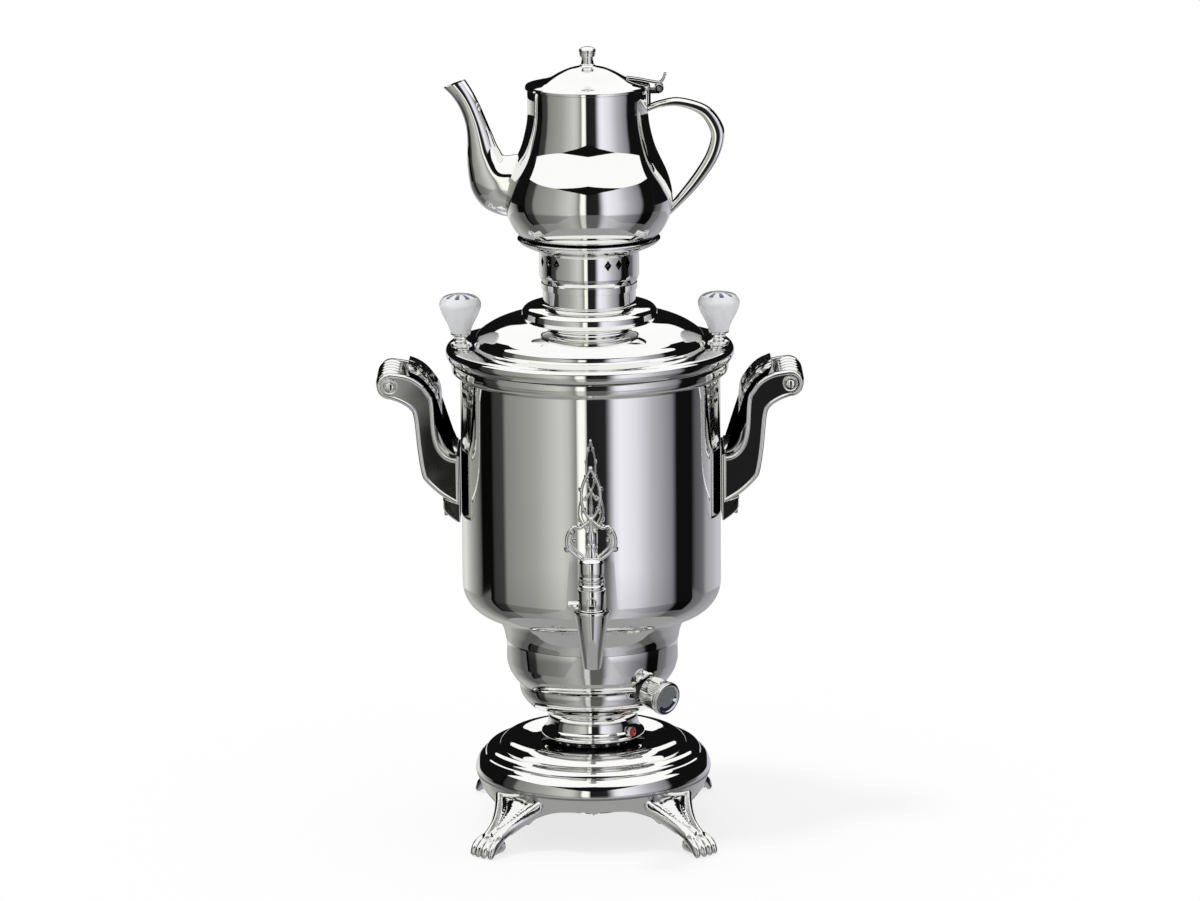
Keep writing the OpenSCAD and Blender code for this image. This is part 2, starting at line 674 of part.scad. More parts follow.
// ---- Side handles ----
base_o = 2.3;
base_low = 87;
cheek_h = grip_z - base_low;
base_drop = 12.5;
handle_screw_down = 6;
scroll_r = grip_r - 1;
grip_w = handle_w - 2 * cheek_t;
handle_screw_y = handle_w / 2 - 10;
handle_screw_r = 2;
handle_screw_head_r = 3.6;
handle_screw_seat = 7.2;

// A point of the handle's outline, as shares of its reach and its height
function at_handle(u, v) = [tank_r + base_o + u * (grip_out - base_o), floor_z + base_low + v * cheek_h];

cheek_low = curve([at_handle(0, 0), at_handle(0.26, 0.089), at_handle(0.476, 0.201), at_handle(0.54, 0.275),
    at_handle(0.595, 0.469), at_handle(0.644, 0.734), at_handle(0.707, 0.81), at_handle(0.853, 0.863),
    at_handle(1, 1) - [0, scroll_r]]);
cheek_top = curve([at_handle(1, 1) + [0, scroll_r], at_handle(0.727, 1.081), at_handle(0.532, 1.02),
    at_handle(0.423, 0.947), at_handle(0.35, 0.864), at_handle(0.319, 0.616), at_handle(0.262, 0.486),
    at_handle(0.14, 0.41), at_handle(0, 0.386)]);
band_path = inset(curve([at_handle(0.64, 1.058), at_handle(0.532, 1.02), at_handle(0.423, 0.947),
    at_handle(0.35, 0.864), at_handle(0.319, 0.616), at_handle(0.262, 0.486),
    at_handle(0.14, 0.41), at_handle(0.02, 0.388)]), -3.2);

// Draws a side view in X and Z and gives it a width along Y, centred on y
module upright(w, y = 0) {
    translate([0, y + w / 2, 0]) rotate([90, 0, 0]) linear_extrude(w) children();
}

module on_side(side) {
    mirror([side < 0 ? 1 : 0, 0, 0]) children();
}

module handle_cheeks(side) {
    grip_at = at_handle(1, 1);
    color("silver") on_side(side) for (s = [-1, 1]) difference() {
        upright(cheek_t, s * (handle_w - cheek_t) / 2) polygon(concat(cheek_low,
            arc(grip_at[0], grip_at[1], scroll_r, -75, 75, 10), cheek_top));
        translate([grip_at[0], 0, grip_at[1]]) rotate([90, 0, 0])
            cylinder(r = rod_r + running, h = handle_w + 2, center = true);
    }
}

module handle_band(side) {
    color("silver") on_side(side) upright(grip_w) stroke(band_path, 3);
}

module handle_grip(side) {
    grip_at = at_handle(1, 1);
    bead = grip_w / 5;
    color("silver") on_side(side) translate([grip_at[0], grip_w / 2, grip_at[1]]) rotate([90, 0, 0])
        difference() {
            union() {
                cylinder(r = grip_r - 1.6, h = grip_w);
                for (i = [0:4]) translate([0, 0, (i + 0.5) * bead]) rotate_extrude()
                    translate([grip_r - bead * 0.42, 0]) circle(r = bead * 0.42, $fn = 32);
            }
            translate([0, 0, -1]) cylinder(r = rod_r + running, h = grip_w + 2);
        }
}

module handle_rod(side) {
    grip_at = at_handle(1, 1);
    cap_h = 2.6;
    color("silver") on_side(side) translate([grip_at[0], handle_w / 2 + cap_h, grip_at[1]])
        rotate([90, 0, 0]) {
            cylinder(r = rod_r, h = handle_w + 2 * cap_h);
            cylinder(r1 = 5, r2 = 6, h = cap_h);
            translate([0, 0, handle_w + cap_h]) cylinder(r1 = 6, r2 = 5, h = cap_h);
        }
}

// Flat plate that touches the tank along one line, with a rounded shoe under the cheeks
module handle_base(side) {
    low = floor_z + base_low;
    top = floor_z + base_low + 0.41 * cheek_h;
    shoe = curve([[tank_r + base_o, low - base_drop], [tank_r + base_o + 6, low - base_drop + 4.6],
        [tank_r + base_o + 10, low - 3], [tank_r + base_o + 10.4, low + 5.4]]);
    color("silver") on_side(side) difference() {
        upright(handle_w) polygon(concat([[tank_r + clear, low - base_drop]], shoe,
            [[tank_r + base_o, low - 0.6], [tank_r + base_o, top], [tank_r + clear, top]]));
        for (s = [-1, 1]) translate([tank_r, s * handle_screw_y, low - handle_screw_down])
            rotate([0, 90, 0]) {
            cylinder(r = handle_screw_r + clear, h = 20);
            translate([0, 0, base_o + handle_screw_seat]) cylinder(r = handle_screw_head_r + clear, h = 20);
        }
    }
}

module handle_left_cheeks() { handle_cheeks(-1); }
module handle_left_band() { handle_band(-1); }
module handle_left_grip() { handle_grip(-1); }
module handle_left_rod() { handle_rod(-1); }
module handle_left_base() { handle_base(-1); }
module handle_right_cheeks() { handle_cheeks(1); }
module handle_right_band() { handle_band(1); }
module handle_right_grip() { handle_grip(1); }
module handle_right_rod() { handle_rod(1); }
module handle_right_base() { handle_base(1); }

module handle_screws() {
    color("gray") for (side = [-1, 1], s = [-1, 1]) on_side(side)
        translate([tank_r, s * handle_screw_y, floor_z + base_low - handle_screw_down]) rotate([0, 90, 0]) {
            translate([0, 0, clear]) cylinder(r = handle_screw_r, h = base_o + handle_screw_seat);
            translate([0, 0, base_o + handle_screw_seat]) cylinder(r = handle_screw_head_r, h = 2.4);
        }
}

// ---- Lid ----
lid_path = concat(
    curve([[lid_r - 1.2, lid_z], [lid_r, lid_z + 0.3 * flange_h], [lid_r, lid_z + 0.64 * flange_h],
        [lid_r - 1.4, lid_z + 0.92 * flange_h], [lid_r - 4, flange_z]]),
    curve([[lid_dome_r + 4, flange_z], [lid_dome_r + 1.4, flange_z + 0.06 * lid_dome_h],
        [lid_dome_r, flange_z + 0.26 * lid_dome_h], [lid_dome_r - 2.6, flange_z + 0.44 * lid_dome_h],
        [lid_dome_r - 11, flange_z + 0.7 * lid_dome_h], [lid_dome_r - 21, flange_z + 0.89 * lid_dome_h],
        [small_dome_r + 2, small_z]]),
    curve([[small_dome_r + 0.4, small_z + 0.4], [small_dome_r, small_z + 0.2 * small_dome_h],
        [small_dome_r - 0.8, small_z + 0.52 * small_dome_h],
        [small_dome_r - 3.5, small_z + 0.8 * small_dome_h],
        [small_dome_r - 9, small_z + 0.96 * small_dome_h], [neck_r + 2.6, crest_z]]),
    [[neck_r + clear, crest_z]]);

module shoulder_lid() {
    color("silver") difference() {
        turned_sheet(lid_path);
        for (s = [-1, 1]) translate([s * knob_at_r, 0, flange_z - 3]) cylinder(r = 2 + clear, h = 6);
    }
}

knob_screw_head_r = 3.4;

// Ring under the lid that drops into the tank, notched round the heads of the knob screws
module lid_locating_ring() {
    depth = 8;
    color("silver") difference() {
        ring(tank_r - tank_wall - 1, tank_r - tank_wall - 2, tank_top - depth,
            flange_z - sheet - tank_top + depth);
        at_knobs() translate([0, 0, -sheet - 4]) cylinder(r = knob_screw_head_r + clear, h = 6);
    }
}

module steam_neck() {
    color("silver") {
        ring(neck_r, neck_r - sheet, crest_z - 6, neck_h + 6);
        ring(neck_r + 2.4, neck_r - 0.5, crest_z, 1);
    }
}

module at_knobs() {
    for (s = [-1, 1]) translate([s * knob_at_r, 0, flange_z]) children();
}

module lid_knob_stems() {
    stem_foot_r = 6.8;
    top_r = 7.2;
    color("silver") at_knobs() difference() {
        rotate_extrude() polygon(concat([[0, 0]], curve([[stem_foot_r, 0], [stem_foot_r, 1.2],
            [5.4, 2.6], [4.6, stem_h * 0.5], [5.4, stem_h * 0.78], [top_r, stem_h - 1], [top_r, stem_h]]),
            [[0, stem_h]]));
        translate([0, 0, -1]) cylinder(r = 2 + running, h = stem_h + 2);
    }
}

module lid_knob() {
    h = knob_h;
    color("white") difference() {
        rotate_extrude() polygon(concat([[0, 0]], curve([[7, 0], [7.6, 0.07 * h], [9.6, 0.25 * h],
            [12.8, 0.46 * h], [knob_r, 0.68 * h], [knob_r - 0.4, 0.8 * h], [knob_r - 3.2, 0.92 * h],
            [knob_r - 9, 0.985 * h], [0, h]], 4)));
        translate([0, 0, -1]) cylinder(r = 2 + running, h = 14);
    }
}

module lid_knob_left() { translate([-knob_at_r, 0, flange_z + stem_h]) lid_knob(); }
module lid_knob_right() { translate([knob_at_r, 0, flange_z + stem_h]) lid_knob(); }

module lid_knob_screws() {
    color("gray") at_knobs() translate([0, 0, -sheet]) {
        translate([0, 0, -2]) cylinder(r = knob_screw_head_r, h = 2);
        translate([0, 0, -1]) cylinder(r = 2, h = stem_h + sheet + 12);
    }
}

// ---- Gallery ----
diamond_groups = [36, 126, 216, 306];
diamond_pitch = 14;

module crown_collar() {
    foot_top = 0.19 * collar_h;
    path = concat([[neck_r + 1.1, crown_z], [neck_r + 1.1, crown_z + foot_top - 0.6]],
        curve([[neck_r + 0.6, crown_z + foot_top], [collar_r - 1.2, crown_z + 0.26 * collar_h],
            [collar_r - 0.2, crown_z + 0.36 * collar_h], [collar_r, crown_z + 0.46 * collar_h]]),
        [[collar_r, pan_z]]);
    color("silver") difference() {
        union() {
            turned_sheet(path);
            ring(neck_r + 0.6, neck_r - 4, crown_z, sheet);
            ring(neck_r - sheet - 0.5, neck_r - sheet - 1.5, crown_z - 7, 7.5);
        }
        for (a = diamond_groups, i = [-1:1]) rotate([0, 0, a + i * diamond_pitch])
            translate([0, -collar_r + 4, crown_z + 0.8 * collar_h]) rotate([90, 0, 0]) linear_extrude(9)
                polygon([[-diamond_w, 0], [0, -diamond_h], [diamond_w, 0], [0, diamond_h]]);
    }
}

module gallery() {
    top = pot_z + gallery_lip;
    path = curve([[collar_r, pan_z], [collar_r + 1.4, pan_z + 1.4], [collar_r + 6, pan_z + 3.2],
        [gallery_r - 3.6, pot_z + 0.6], [gallery_r - 0.8, pot_z + 0.55 * gallery_lip], [gallery_r, top]]);
    color("silver") difference() {
        union() {
            turned_sheet(path);
            ring(collar_r + 7, 12, pot_z - sheet, sheet);
            translate([0, 0, top]) rotate_extrude() translate([gallery_r - 0.4, 0]) circle(r = 1, $fn = 32);
        }
        for (a = [0:30:330]) rotate([0, 0, a]) translate([24, 0, pot_z - 3]) cylinder(r = 3.5, h = 6);
    }
}

// ---- Teapot ----
function pot_mix(k) = mouth_r + k * (belly_r - mouth_r);
function pot_at(r, v) = [r, pot_z + v * pot_h];
pot_path = concat(curve([pot_at(belly_r - 23, 0), pot_at(belly_r - 14.5, 0.034), pot_at(belly_r - 7.3, 0.098),
    pot_at(belly_r - 2.4, 0.181), pot_at(belly_r - 0.3, 0.25), pot_at(belly_r, 0.316),
    pot_at(belly_r - 1.2, 0.382), pot_at(pot_mix(0.753), 0.469), pot_at(pot_mix(0.3), 0.623),
    pot_at(pot_mix(0.08), 0.746), pot_at(pot_mix(0.01), 0.825), pot_at(mouth_r, 0.877)]),
    [pot_at(mouth_r, 1)]);

module pot_space(gap = 0) {
    rotate_extrude() polygon(concat([[0, pot_z]], inset(pot_path, -gap), [[0, mouth_z]]));
}

spout_z = pot_z + 44;

module teapot_body() {
    color("silver") difference() {
        rotate_extrude() polygon(concat([[0, pot_z]], pot_path, reverse(inset(pot_path, pot_wall)),
            [[0, pot_z + pot_wall]]));
        for (i = [-1:1], k = [-1:1]) translate([0, i * 7, spout_z + k * 8]) rotate([0, -90, 0])
            cylinder(r = 2, h = belly_r + 10);
    }
}

// Each row of the spout: distance from the axis, height over the pot's base, half height and half width
// of the section, and the angle of the section's upper side
spout_rows = [[56, 44, 22.5, 15, 100], [67.5, 46.5, 20, 14, 110], [73.8, 55, 17.8, 12, 124],
    [76.8, 66, 13.8, 9.6, 136], [78.2, 78, 9.8, 7.6, 152], [80.6, 89.5, 7.6, 6.4, 160],
    [84.8, 101, 7, 5.8, 164], [90, 110.5, 7.4, 5.4, 164], [95.8, 118, 8.2, 5.2, 160]];
function spout_row(i, t) = let (m = len(spout_rows) - 1) blend(spout_rows[max(i - 1, 0)], spout_rows[i],
    spout_rows[min(i + 1, m)], spout_rows[min(i + 2, m)], t);
function spout_ring(r, wall, sides) = [for (k = [0:sides - 1]) let (a = 360 * k / sides,
    u = (r[2] - wall) * cos(a), w = (r[3] - wall) * sin(a))
    [-r[0] - u * cos(r[4]), w, pot_z + r[1] + u * sin(r[4])]];
// The spout's root lies on the pot's wall, a seat's gap away from it
pot_wall_at = [for (q = pot_path) [q[1], q[0]]];
function root_ring(r, wall, sides) = [for (q = spout_ring(r, wall, sides))
    let (near = lookup(q[2], pot_wall_at) + seat) [-sqrt(near * near - q[1] * q[1]), q[1], q[2]]];
function any_ring(rows, i, wall, sides) = i == 0 ? root_ring(rows[0], wall, sides)
    : spout_ring(rows[i], wall, sides);

module teapot_spout() {
    sides = 20;
    steps = 3;
    rows = concat([for (i = [0:len(spout_rows) - 2], k = [0:steps - 1]) spout_row(i, k / steps)],
        [spout_rows[len(spout_rows) - 1]]);
    n = len(rows);
    points = [for (wall = [0, pot_wall], i = [0:n - 1]) each any_ring(rows, i, wall, sides)];
    function p(shell, row, k) = (shell * n + row) * sides + k % sides;
    faces = concat(
        [for (j = [0:n - 2], k = [0:sides - 1]) each [[p(0, j, k), p(0, j, k + 1), p(0, j + 1, k + 1)],
            [p(0, j, k), p(0, j + 1, k + 1), p(0, j + 1, k)]]],
        [for (j = [0:n - 2], k = [0:sides - 1]) each [[p(1, j, k), p(1, j + 1, k + 1), p(1, j, k + 1)],
            [p(1, j, k), p(1, j + 1, k), p(1, j + 1, k + 1)]]],
        [for (k = [0:sides - 1]) each [[p(0, 0, k), p(1, 0, k + 1), p(0, 0, k + 1)],
            [p(0, 0, k), p(1, 0, k), p(1, 0, k + 1)]]],
        [for (k = [0:sides - 1]) each [[p(0, n - 1, k), p(0, n - 1, k + 1), p(1, n - 1, k + 1)],
            [p(0, n - 1, k), p(1, n - 1, k + 1), p(1, n - 1, k)]]]);
    color("silver") polyhedron(points, faces);
}

// A point of the strap's outline, as shares of its reach and of the pot's height under the mouth
function at_strap(u, v) = [mouth_r + u * (strap_reach - mouth_r), mouth_z - v * pot_h];

// A strap, thickest at its outer bend, on the pot's right
module teapot_handle() {
    outer = curve([at_strap(-0.037, 0.114), at_strap(0.186, 0.082), at_strap(0.434, 0.07),
        at_strap(0.787, 0.123),
        at_strap(0.981, 0.237), at_strap(1, 0.342), at_strap(0.889, 0.482), at_strap(0.62, 0.653),
        at_strap(0.267, 0.816)], 4);
    inner = curve([at_strap(0.212, 0.789), at_strap(0.323, 0.732), at_strap(0.564, 0.59),
        at_strap(0.779, 0.417),
        at_strap(0.842, 0.298), at_strap(0.805, 0.219), at_strap(0.675, 0.154), at_strap(0.416, 0.114),
        at_strap(0.148, 0.118), at_strap(-0.037, 0.149)], 4);
    color("silver") difference() {
        upright(strap_w) polygon(concat(outer, inner));
        pot_space(seat);
    }
}

bracket_w = 3.5;
lever_w = hinge_w - 2 * bracket_w - 2 * clear;

module on_hinge() {
    translate([hinge_x, 0, mouth_z]) rotate([90, 0, 0]) children();
}

module hinge_bracket() {
    arm_t = 2.4;
    color("silver") difference() {
        union() {
            translate([mouth_r - 1, -hinge_w / 2 + 1, mouth_z - 11]) cube([2.6, hinge_w - 2, 10]);
            for (s = [-1, 1]) translate([0, s * (hinge_w - bracket_w) / 2, 0]) {
                translate([mouth_r, -bracket_w / 2, mouth_z - 1 - arm_t])
                    cube([hinge_x - mouth_r, bracket_w, arm_t]);
                on_hinge() cylinder(r = knuckle_r, h = bracket_w, center = true);
            }
        }
        pot_space(seat);
        on_hinge() cylinder(r = hinge_pin_r + running, h = hinge_w + 2, center = true);
        translate([mouth_r - 3, -hinge_w, mouth_z - 1]) cube([5.2, 2 * hinge_w, 4]);
    }
}

module hinge_pin() {
    color("gray") on_hinge() {
        cylinder(r = hinge_pin_r, h = hinge_w + 1, center = true);
        for (s = [-1, 1]) translate([0, 0, s * (hinge_w / 2 + 0.5)])
            cylinder(r = hinge_pin_r + 0.6, h = 1, center = true);
    }
}

module teapot_lid() {
    z = mouth_z;
    h = pot_lid_h;
    edge = mouth_r + 1.6;
    path = concat([[edge, z], [edge, z + 0.1 * h]], curve([[edge - 0.6, z + 0.16 * h],
        [edge - 4, z + 0.21 * h], [edge - 10, z + 0.3 * h], [edge - 17, z + 0.44 * h],
        [edge - 24, z + 0.68 * h], [edge - 32, z + 0.9 * h], [6, z + h]]), [[1.8, z + h]]);
    color("silver") difference() {
        union() {
            turned_sheet(path, pot_wall);
            ring(edge - 0.4, mouth_r - 3, z, pot_wall);
            ring(mouth_r - pot_wall - 0.6, mouth_r - pot_wall - 1.4, z - 3, 3.5);
            upright(lever_w) stroke(curve([[edge - 17, z + 0.46 * h], [edge - 8, z + 0.38 * h],
                [edge, z + 0.28 * h], [hinge_x, z + knuckle_r + 0.4], [hinge_x + 3, z + 6],
                [hinge_x + 4.6, z + 10.5]], 4), 1.8);
            on_hinge() cylinder(r = knuckle_r, h = lever_w, center = true);
        }
        on_hinge() cylinder(r = hinge_pin_r + running, h = hinge_w, center = true);
    }
}

module teapot_lid_knob() {
    color("silver") translate([0, 0, pot_lid_top]) {
        rotate_extrude() polygon(concat([[0, 0]],
            curve([[6, 0], [5.4, 1], [4.6, 1.8], [4.3, 4], [4.4, 6.6]], 3),
            [[5.6, 7.2], [5.8, 9.4]], curve([[6, 9.8], [6.1, 11], [5.4, 12.6], [3, 13.8], [0, 14.2]], 3)));
        translate([0, 0, -4]) cylinder(r = 1.5, h = 5);
    }
}

tank();
top_rim();
lower_funnel();
lower_housing();
waist_ring();
base_dome();
base_skirt();
cover_plate();
cover_plate_screws();
foot_front_left();
foot_front_right();
foot_rear_left();
foot_rear_right();
foot_screws();
tie_rod();
tie_rod_nuts();
heating_element();
element_nuts();
thermal_cutout();
thermostat_body();
thermostat_socket();
thermostat_spindle();
thermostat_knob();
pilot_lamp();
power_inlet();
handle_screws();
tap_body();
tap_escutcheon();
tap_seal();
tap_nut();
tap_gland();
tap_nozzle();
tap_plug();
tap_key();
handle_left_cheeks();
handle_left_band();
handle_left_grip();
handle_left_rod();
handle_left_base();
handle_right_cheeks();
handle_right_band();
handle_right_grip();
handle_right_rod();
handle_right_base();
shoulder_lid();
lid_locating_ring();
steam_neck();
lid_knob_stems();
lid_knob_left();
lid_knob_right();
lid_knob_screws();
crown_collar();
gallery();
teapot_body();
teapot_spout();
teapot_handle();
hinge_bracket();
hinge_pin();
teapot_lid();
teapot_lid_knob();
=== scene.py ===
import math

import bmesh
import bpy
from mathutils import Matrix, Vector


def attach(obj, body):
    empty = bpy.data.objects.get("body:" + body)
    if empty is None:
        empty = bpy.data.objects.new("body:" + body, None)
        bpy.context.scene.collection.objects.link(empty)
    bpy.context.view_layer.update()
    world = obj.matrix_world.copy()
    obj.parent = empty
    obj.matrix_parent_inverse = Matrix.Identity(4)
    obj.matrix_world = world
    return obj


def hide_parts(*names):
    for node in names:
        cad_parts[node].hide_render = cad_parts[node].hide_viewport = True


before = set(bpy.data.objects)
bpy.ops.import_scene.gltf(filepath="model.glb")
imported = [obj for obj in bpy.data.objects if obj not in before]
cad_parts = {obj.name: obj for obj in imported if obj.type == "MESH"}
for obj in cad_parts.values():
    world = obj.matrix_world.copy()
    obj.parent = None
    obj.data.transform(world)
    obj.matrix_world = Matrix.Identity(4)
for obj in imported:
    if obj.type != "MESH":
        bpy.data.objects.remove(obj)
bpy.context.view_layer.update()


# ---- Stand dome ----
# Spun steel dome with three ripples, chromed and polished. It rests on the cover plate and is
# clamped by the tie rod.
def linear(code):
    parts = [int(code[i:i + 2], 16) / 255 for i in (0, 2, 4)]
    return [p / 12.92 if p <= 0.04045 else ((p + 0.055) / 1.055) ** 2.4 for p in parts] + [1.0]


def add(tree, kind, links=(), **settings):
    """Adds a shader node, sets its properties or sockets (in0 is the first input) and links its
    inputs. A node named as a link's source stands for its first output."""
    made = tree.nodes.new("ShaderNode" + kind)
    for key, value in settings.items():
        if hasattr(made, key):
            setattr(made, key, value)
        else:
            at = int(key[2:]) if key[:2] == "in" and key[2:].isdigit() else key.replace("_", " ")
            made.inputs[at].default_value = value
    for key, source in links:
        tree.links.new(getattr(source, "outputs", [source])[0], made.inputs[key])
    return made


def finish_tree(name):
    made = bpy.data.materials.new(name)
    made.use_nodes = True
    made.node_tree.nodes.clear()
    return made, made.node_tree


def chrome(name, colour, clean, worn, patch_mm, wave_mm=0.0):
    """Mirror metal whose gloss drifts from clean to worn over patches, on a slightly wavy sheet."""
    made, tree = finish_tree(name)
    place = add(tree, "TexCoord")
    drift = add(tree, "TexNoise", [("Vector", place.outputs["Object"])],
                Scale=1000 / patch_mm, Detail=3.0)
    gloss = add(tree, "MapRange", [("Value", drift)],
                From_Min=0.3, From_Max=0.75, To_Min=clean, To_Max=worn)
    dent = add(tree, "TexNoise", [("Vector", place.outputs["Object"])],
               Scale=1000 / (patch_mm * 1.7), Detail=1.0)
    wave = add(tree, "Bump", [("Height", dent)], Strength=1.0, Distance=wave_mm / 1000)
    metal = add(tree, "BsdfPrincipled",
                [("Roughness", gloss), ("Normal", wave)],
                Base_Color=linear(colour), Metallic=1.0)
    add(tree, "OutputMaterial", [("Surface", metal)])
    return made


# Bright mirror, a touch warm, with faint wipe marks
polished_chrome = chrome("polished_chrome_sheet", "f0f0ee", 0.02, 0.05, 60, 0.008)


def curve(points, n=6):
    """A smooth path through the points."""
    last = len(points) - 1
    made = []
    for i in range(last):
        a, b, c, d = (Vector(points[min(max(k, 0), last)]) for k in (i - 1, i, i + 1, i + 2))
        for k in range(n):
            t = k / n
            made.append(0.5 * (2 * b + (c - a) * t + (2 * a - 5 * b + 4 * c - d) * t * t
                               + (3 * b - a - 3 * c + d) * t ** 3))
    return made + [Vector(points[last])]


def inset(path, t):
    """The path moved to its left by t."""
    made = []
    for i, p in enumerate(path):
        run = (Vector(path[min(i + 1, len(path) - 1)]) - Vector(path[max(i - 1, 0)])).normalized()
        made.append(Vector((p[0] - t * run[1], p[1] + t * run[0])))
    return made


def walled(path, t):
    """Closed outline of a sheet of thickness t whose outside is the path."""
    return list(path) + inset(path, t)[::-1]


def skin_between(bm, ring, beyond):
    """Quads all the way round from one ring of points to the next."""
    for k in range(len(ring)):
        over = (k + 1) % len(ring)
        bm.faces.new([ring[k], ring[over], beyond[over], beyond[k]])


mm = 0.001  # the outlines are drawn in mm, the scene is in metres


def turned(bm, outline, seg=180, place=Matrix()):
    """Turns a closed outline of (radius, height) in mm round the axis of place."""
    rings = []
    for r, z in outline:
        ring = [bm.verts.new(place @ Vector((r * math.cos(a), r * math.sin(a), z)) * mm)
                for a in (2 * math.pi * k / seg for k in range(seg))]
        rings.append(ring)
    for ring, above in zip(rings, rings[1:] + rings[:1]):
        skin_between(bm, ring, above)
    bmesh.ops.remove_doubles(bm, verts=bm.verts, dist=1e-6)


def piece(name, bm, finish, body, slot, *nodes, sharp=32):
    """The mesh becomes one named piece that rides on a body and stands for the CAD nodes."""
    mesh = bpy.data.meshes.new(name)
    bmesh.ops.recalc_face_normals(bm, faces=bm.faces)
    bm.to_mesh(mesh)
    bm.free()
    mesh.shade_smooth()
    mesh.set_sharp_from_angle(angle=math.radians(sharp))
    mesh.materials.append(finish)
    made = bpy.data.objects.new(name, mesh)
    bpy.context.scene.collection.objects.link(made)
    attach(made, body)
    if nodes:
        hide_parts(*nodes)
    return made


dome_outside = (
    curve([(86.5, 42.5), (87, 44.4), (86.3, 48), (84, 53.2), (81, 56)])
    + curve([(80, 56.3), (78.5, 59.2), (75.5, 61.2), (71, 61.7)])
    + curve([(69.5, 62), (67.5, 65), (63.5, 67.8), (58, 68.3), (52, 66.8), (45, 64.8), (38, 64)]))
stand_dome = bmesh.new()
turned(stand_dome, walled(dome_outside, 1.0))
piece("stand_dome", stand_dome, polished_chrome, "urn", "chromed_steel", "base_dome")


# ---- Stand skirt ----
# Flared strip of the same sheet under the dome. Its lower edge is cut in an arch between two
# feet, with a small point in the middle, and the cut edge is rolled.
skirt_top_z = 41
skirt_low_z = 15
skirt_arch = curve([(0, 14.5), (5.2, 16), (19, 16), (27.8, 14.7), (36.5, 10.9), (43.5, 6.4), (48.4, 1.6),
                    (51, 0.2), (53.5, 0), (90, 0)], 10)


def skirt_radius(z):
    share = max(0.0, z - skirt_low_z) / (skirt_top_z - skirt_low_z)
    return 74 + 12.2 * share ** 0.8


def skirt_edge(angle):
    """Height of the cut edge at an angle."""
    away = (angle + 45) % 90 - 45
    x = abs(78 * math.sin(math.radians(away)))
    for p, q in zip(skirt_arch, skirt_arch[1:]):
        if p[0] <= x <= q[0]:
            return skirt_low_z + p[1] + (q[1] - p[1]) * (x - p[0]) / (q[0] - p[0])
    return skirt_low_z


skirt = bmesh.new()
skirt_columns = []
for step in range(720):
    turn = math.radians(step / 2)
    low = skirt_edge(step / 2)
    column = []
    levels = [low + (skirt_top_z - low) * k / 8 for k in range(9)]
    section = [(skirt_radius(z), z) for z in levels]
    section += [(skirt_radius(z) - 1.2, z) for z in levels[::-1]]
    section += [(skirt_radius(low) - 1.1, low - 0.4), (skirt_radius(low) + 0.1, low - 0.5)]
    for r, z in section:
        column.append(skirt.verts.new(Vector((r * math.sin(turn), -r * math.cos(turn), z)) * mm))
    skirt_columns.append(column)
for column, beside in zip(skirt_columns, skirt_columns[1:] + skirt_columns[:1]):
    skin_between(skirt, beside, column)
piece("stand_skirt", skirt, polished_chrome, "urn", "chromed_steel", "base_skirt")


# ---- Feet ----
# Cast feet with a fan-shaped leg of two ridges and a paw of four toes, chromed over a cast skin
# that is softer than the sheet. Each is screwed to the skirt from behind.

# Softer mirror: the casting's grain under the chrome spreads the highlights
cast_chrome = chrome("cast_chrome", "eaeae8", 0.05, 0.12, 9, 0.05)


def blob(bm, centre, radii, place=Matrix(), rings=12, sides=20):
    """An ellipsoid in mm, used as a lump of a cast form."""
    rows = []
    for i in range(1, rings):
        tilt = math.pi * i / rings
        rows.append([bm.verts.new(place @ Vector((
            centre[0] + radii[0] * math.sin(tilt) * math.cos(2 * math.pi * k / sides),
            centre[1] + radii[1] * math.sin(tilt) * math.sin(2 * math.pi * k / sides),
            centre[2] + radii[2] * math.cos(tilt))) * mm) for k in range(sides)])
    for row, below in zip(rows, rows[1:]):
        skin_between(bm, below, row)
    bm.faces.new(rows[0])
    bm.faces.new(rows[-1][::-1])


def vein(bm, points, place=Matrix(), steps=5):
    """Lumps along a smooth line; each point holds x, y, z and the lump's three radii."""
    for row in curve(points, steps):
        blob(bm, row[:3], row[3:], place, 8, 14)


def cast_skin(made, size_mm, smooth):
    """Joins overlapping lumps under one skin and softens it."""
    skin = made.modifiers.new("skin", "REMESH")
    skin.mode = "VOXEL"
    skin.voxel_size = size_mm / 1000
    skin.use_smooth_shade = True
    soft = made.modifiers.new("soft", "SMOOTH")
    soft.iterations = smooth
    soft.factor = 0.5


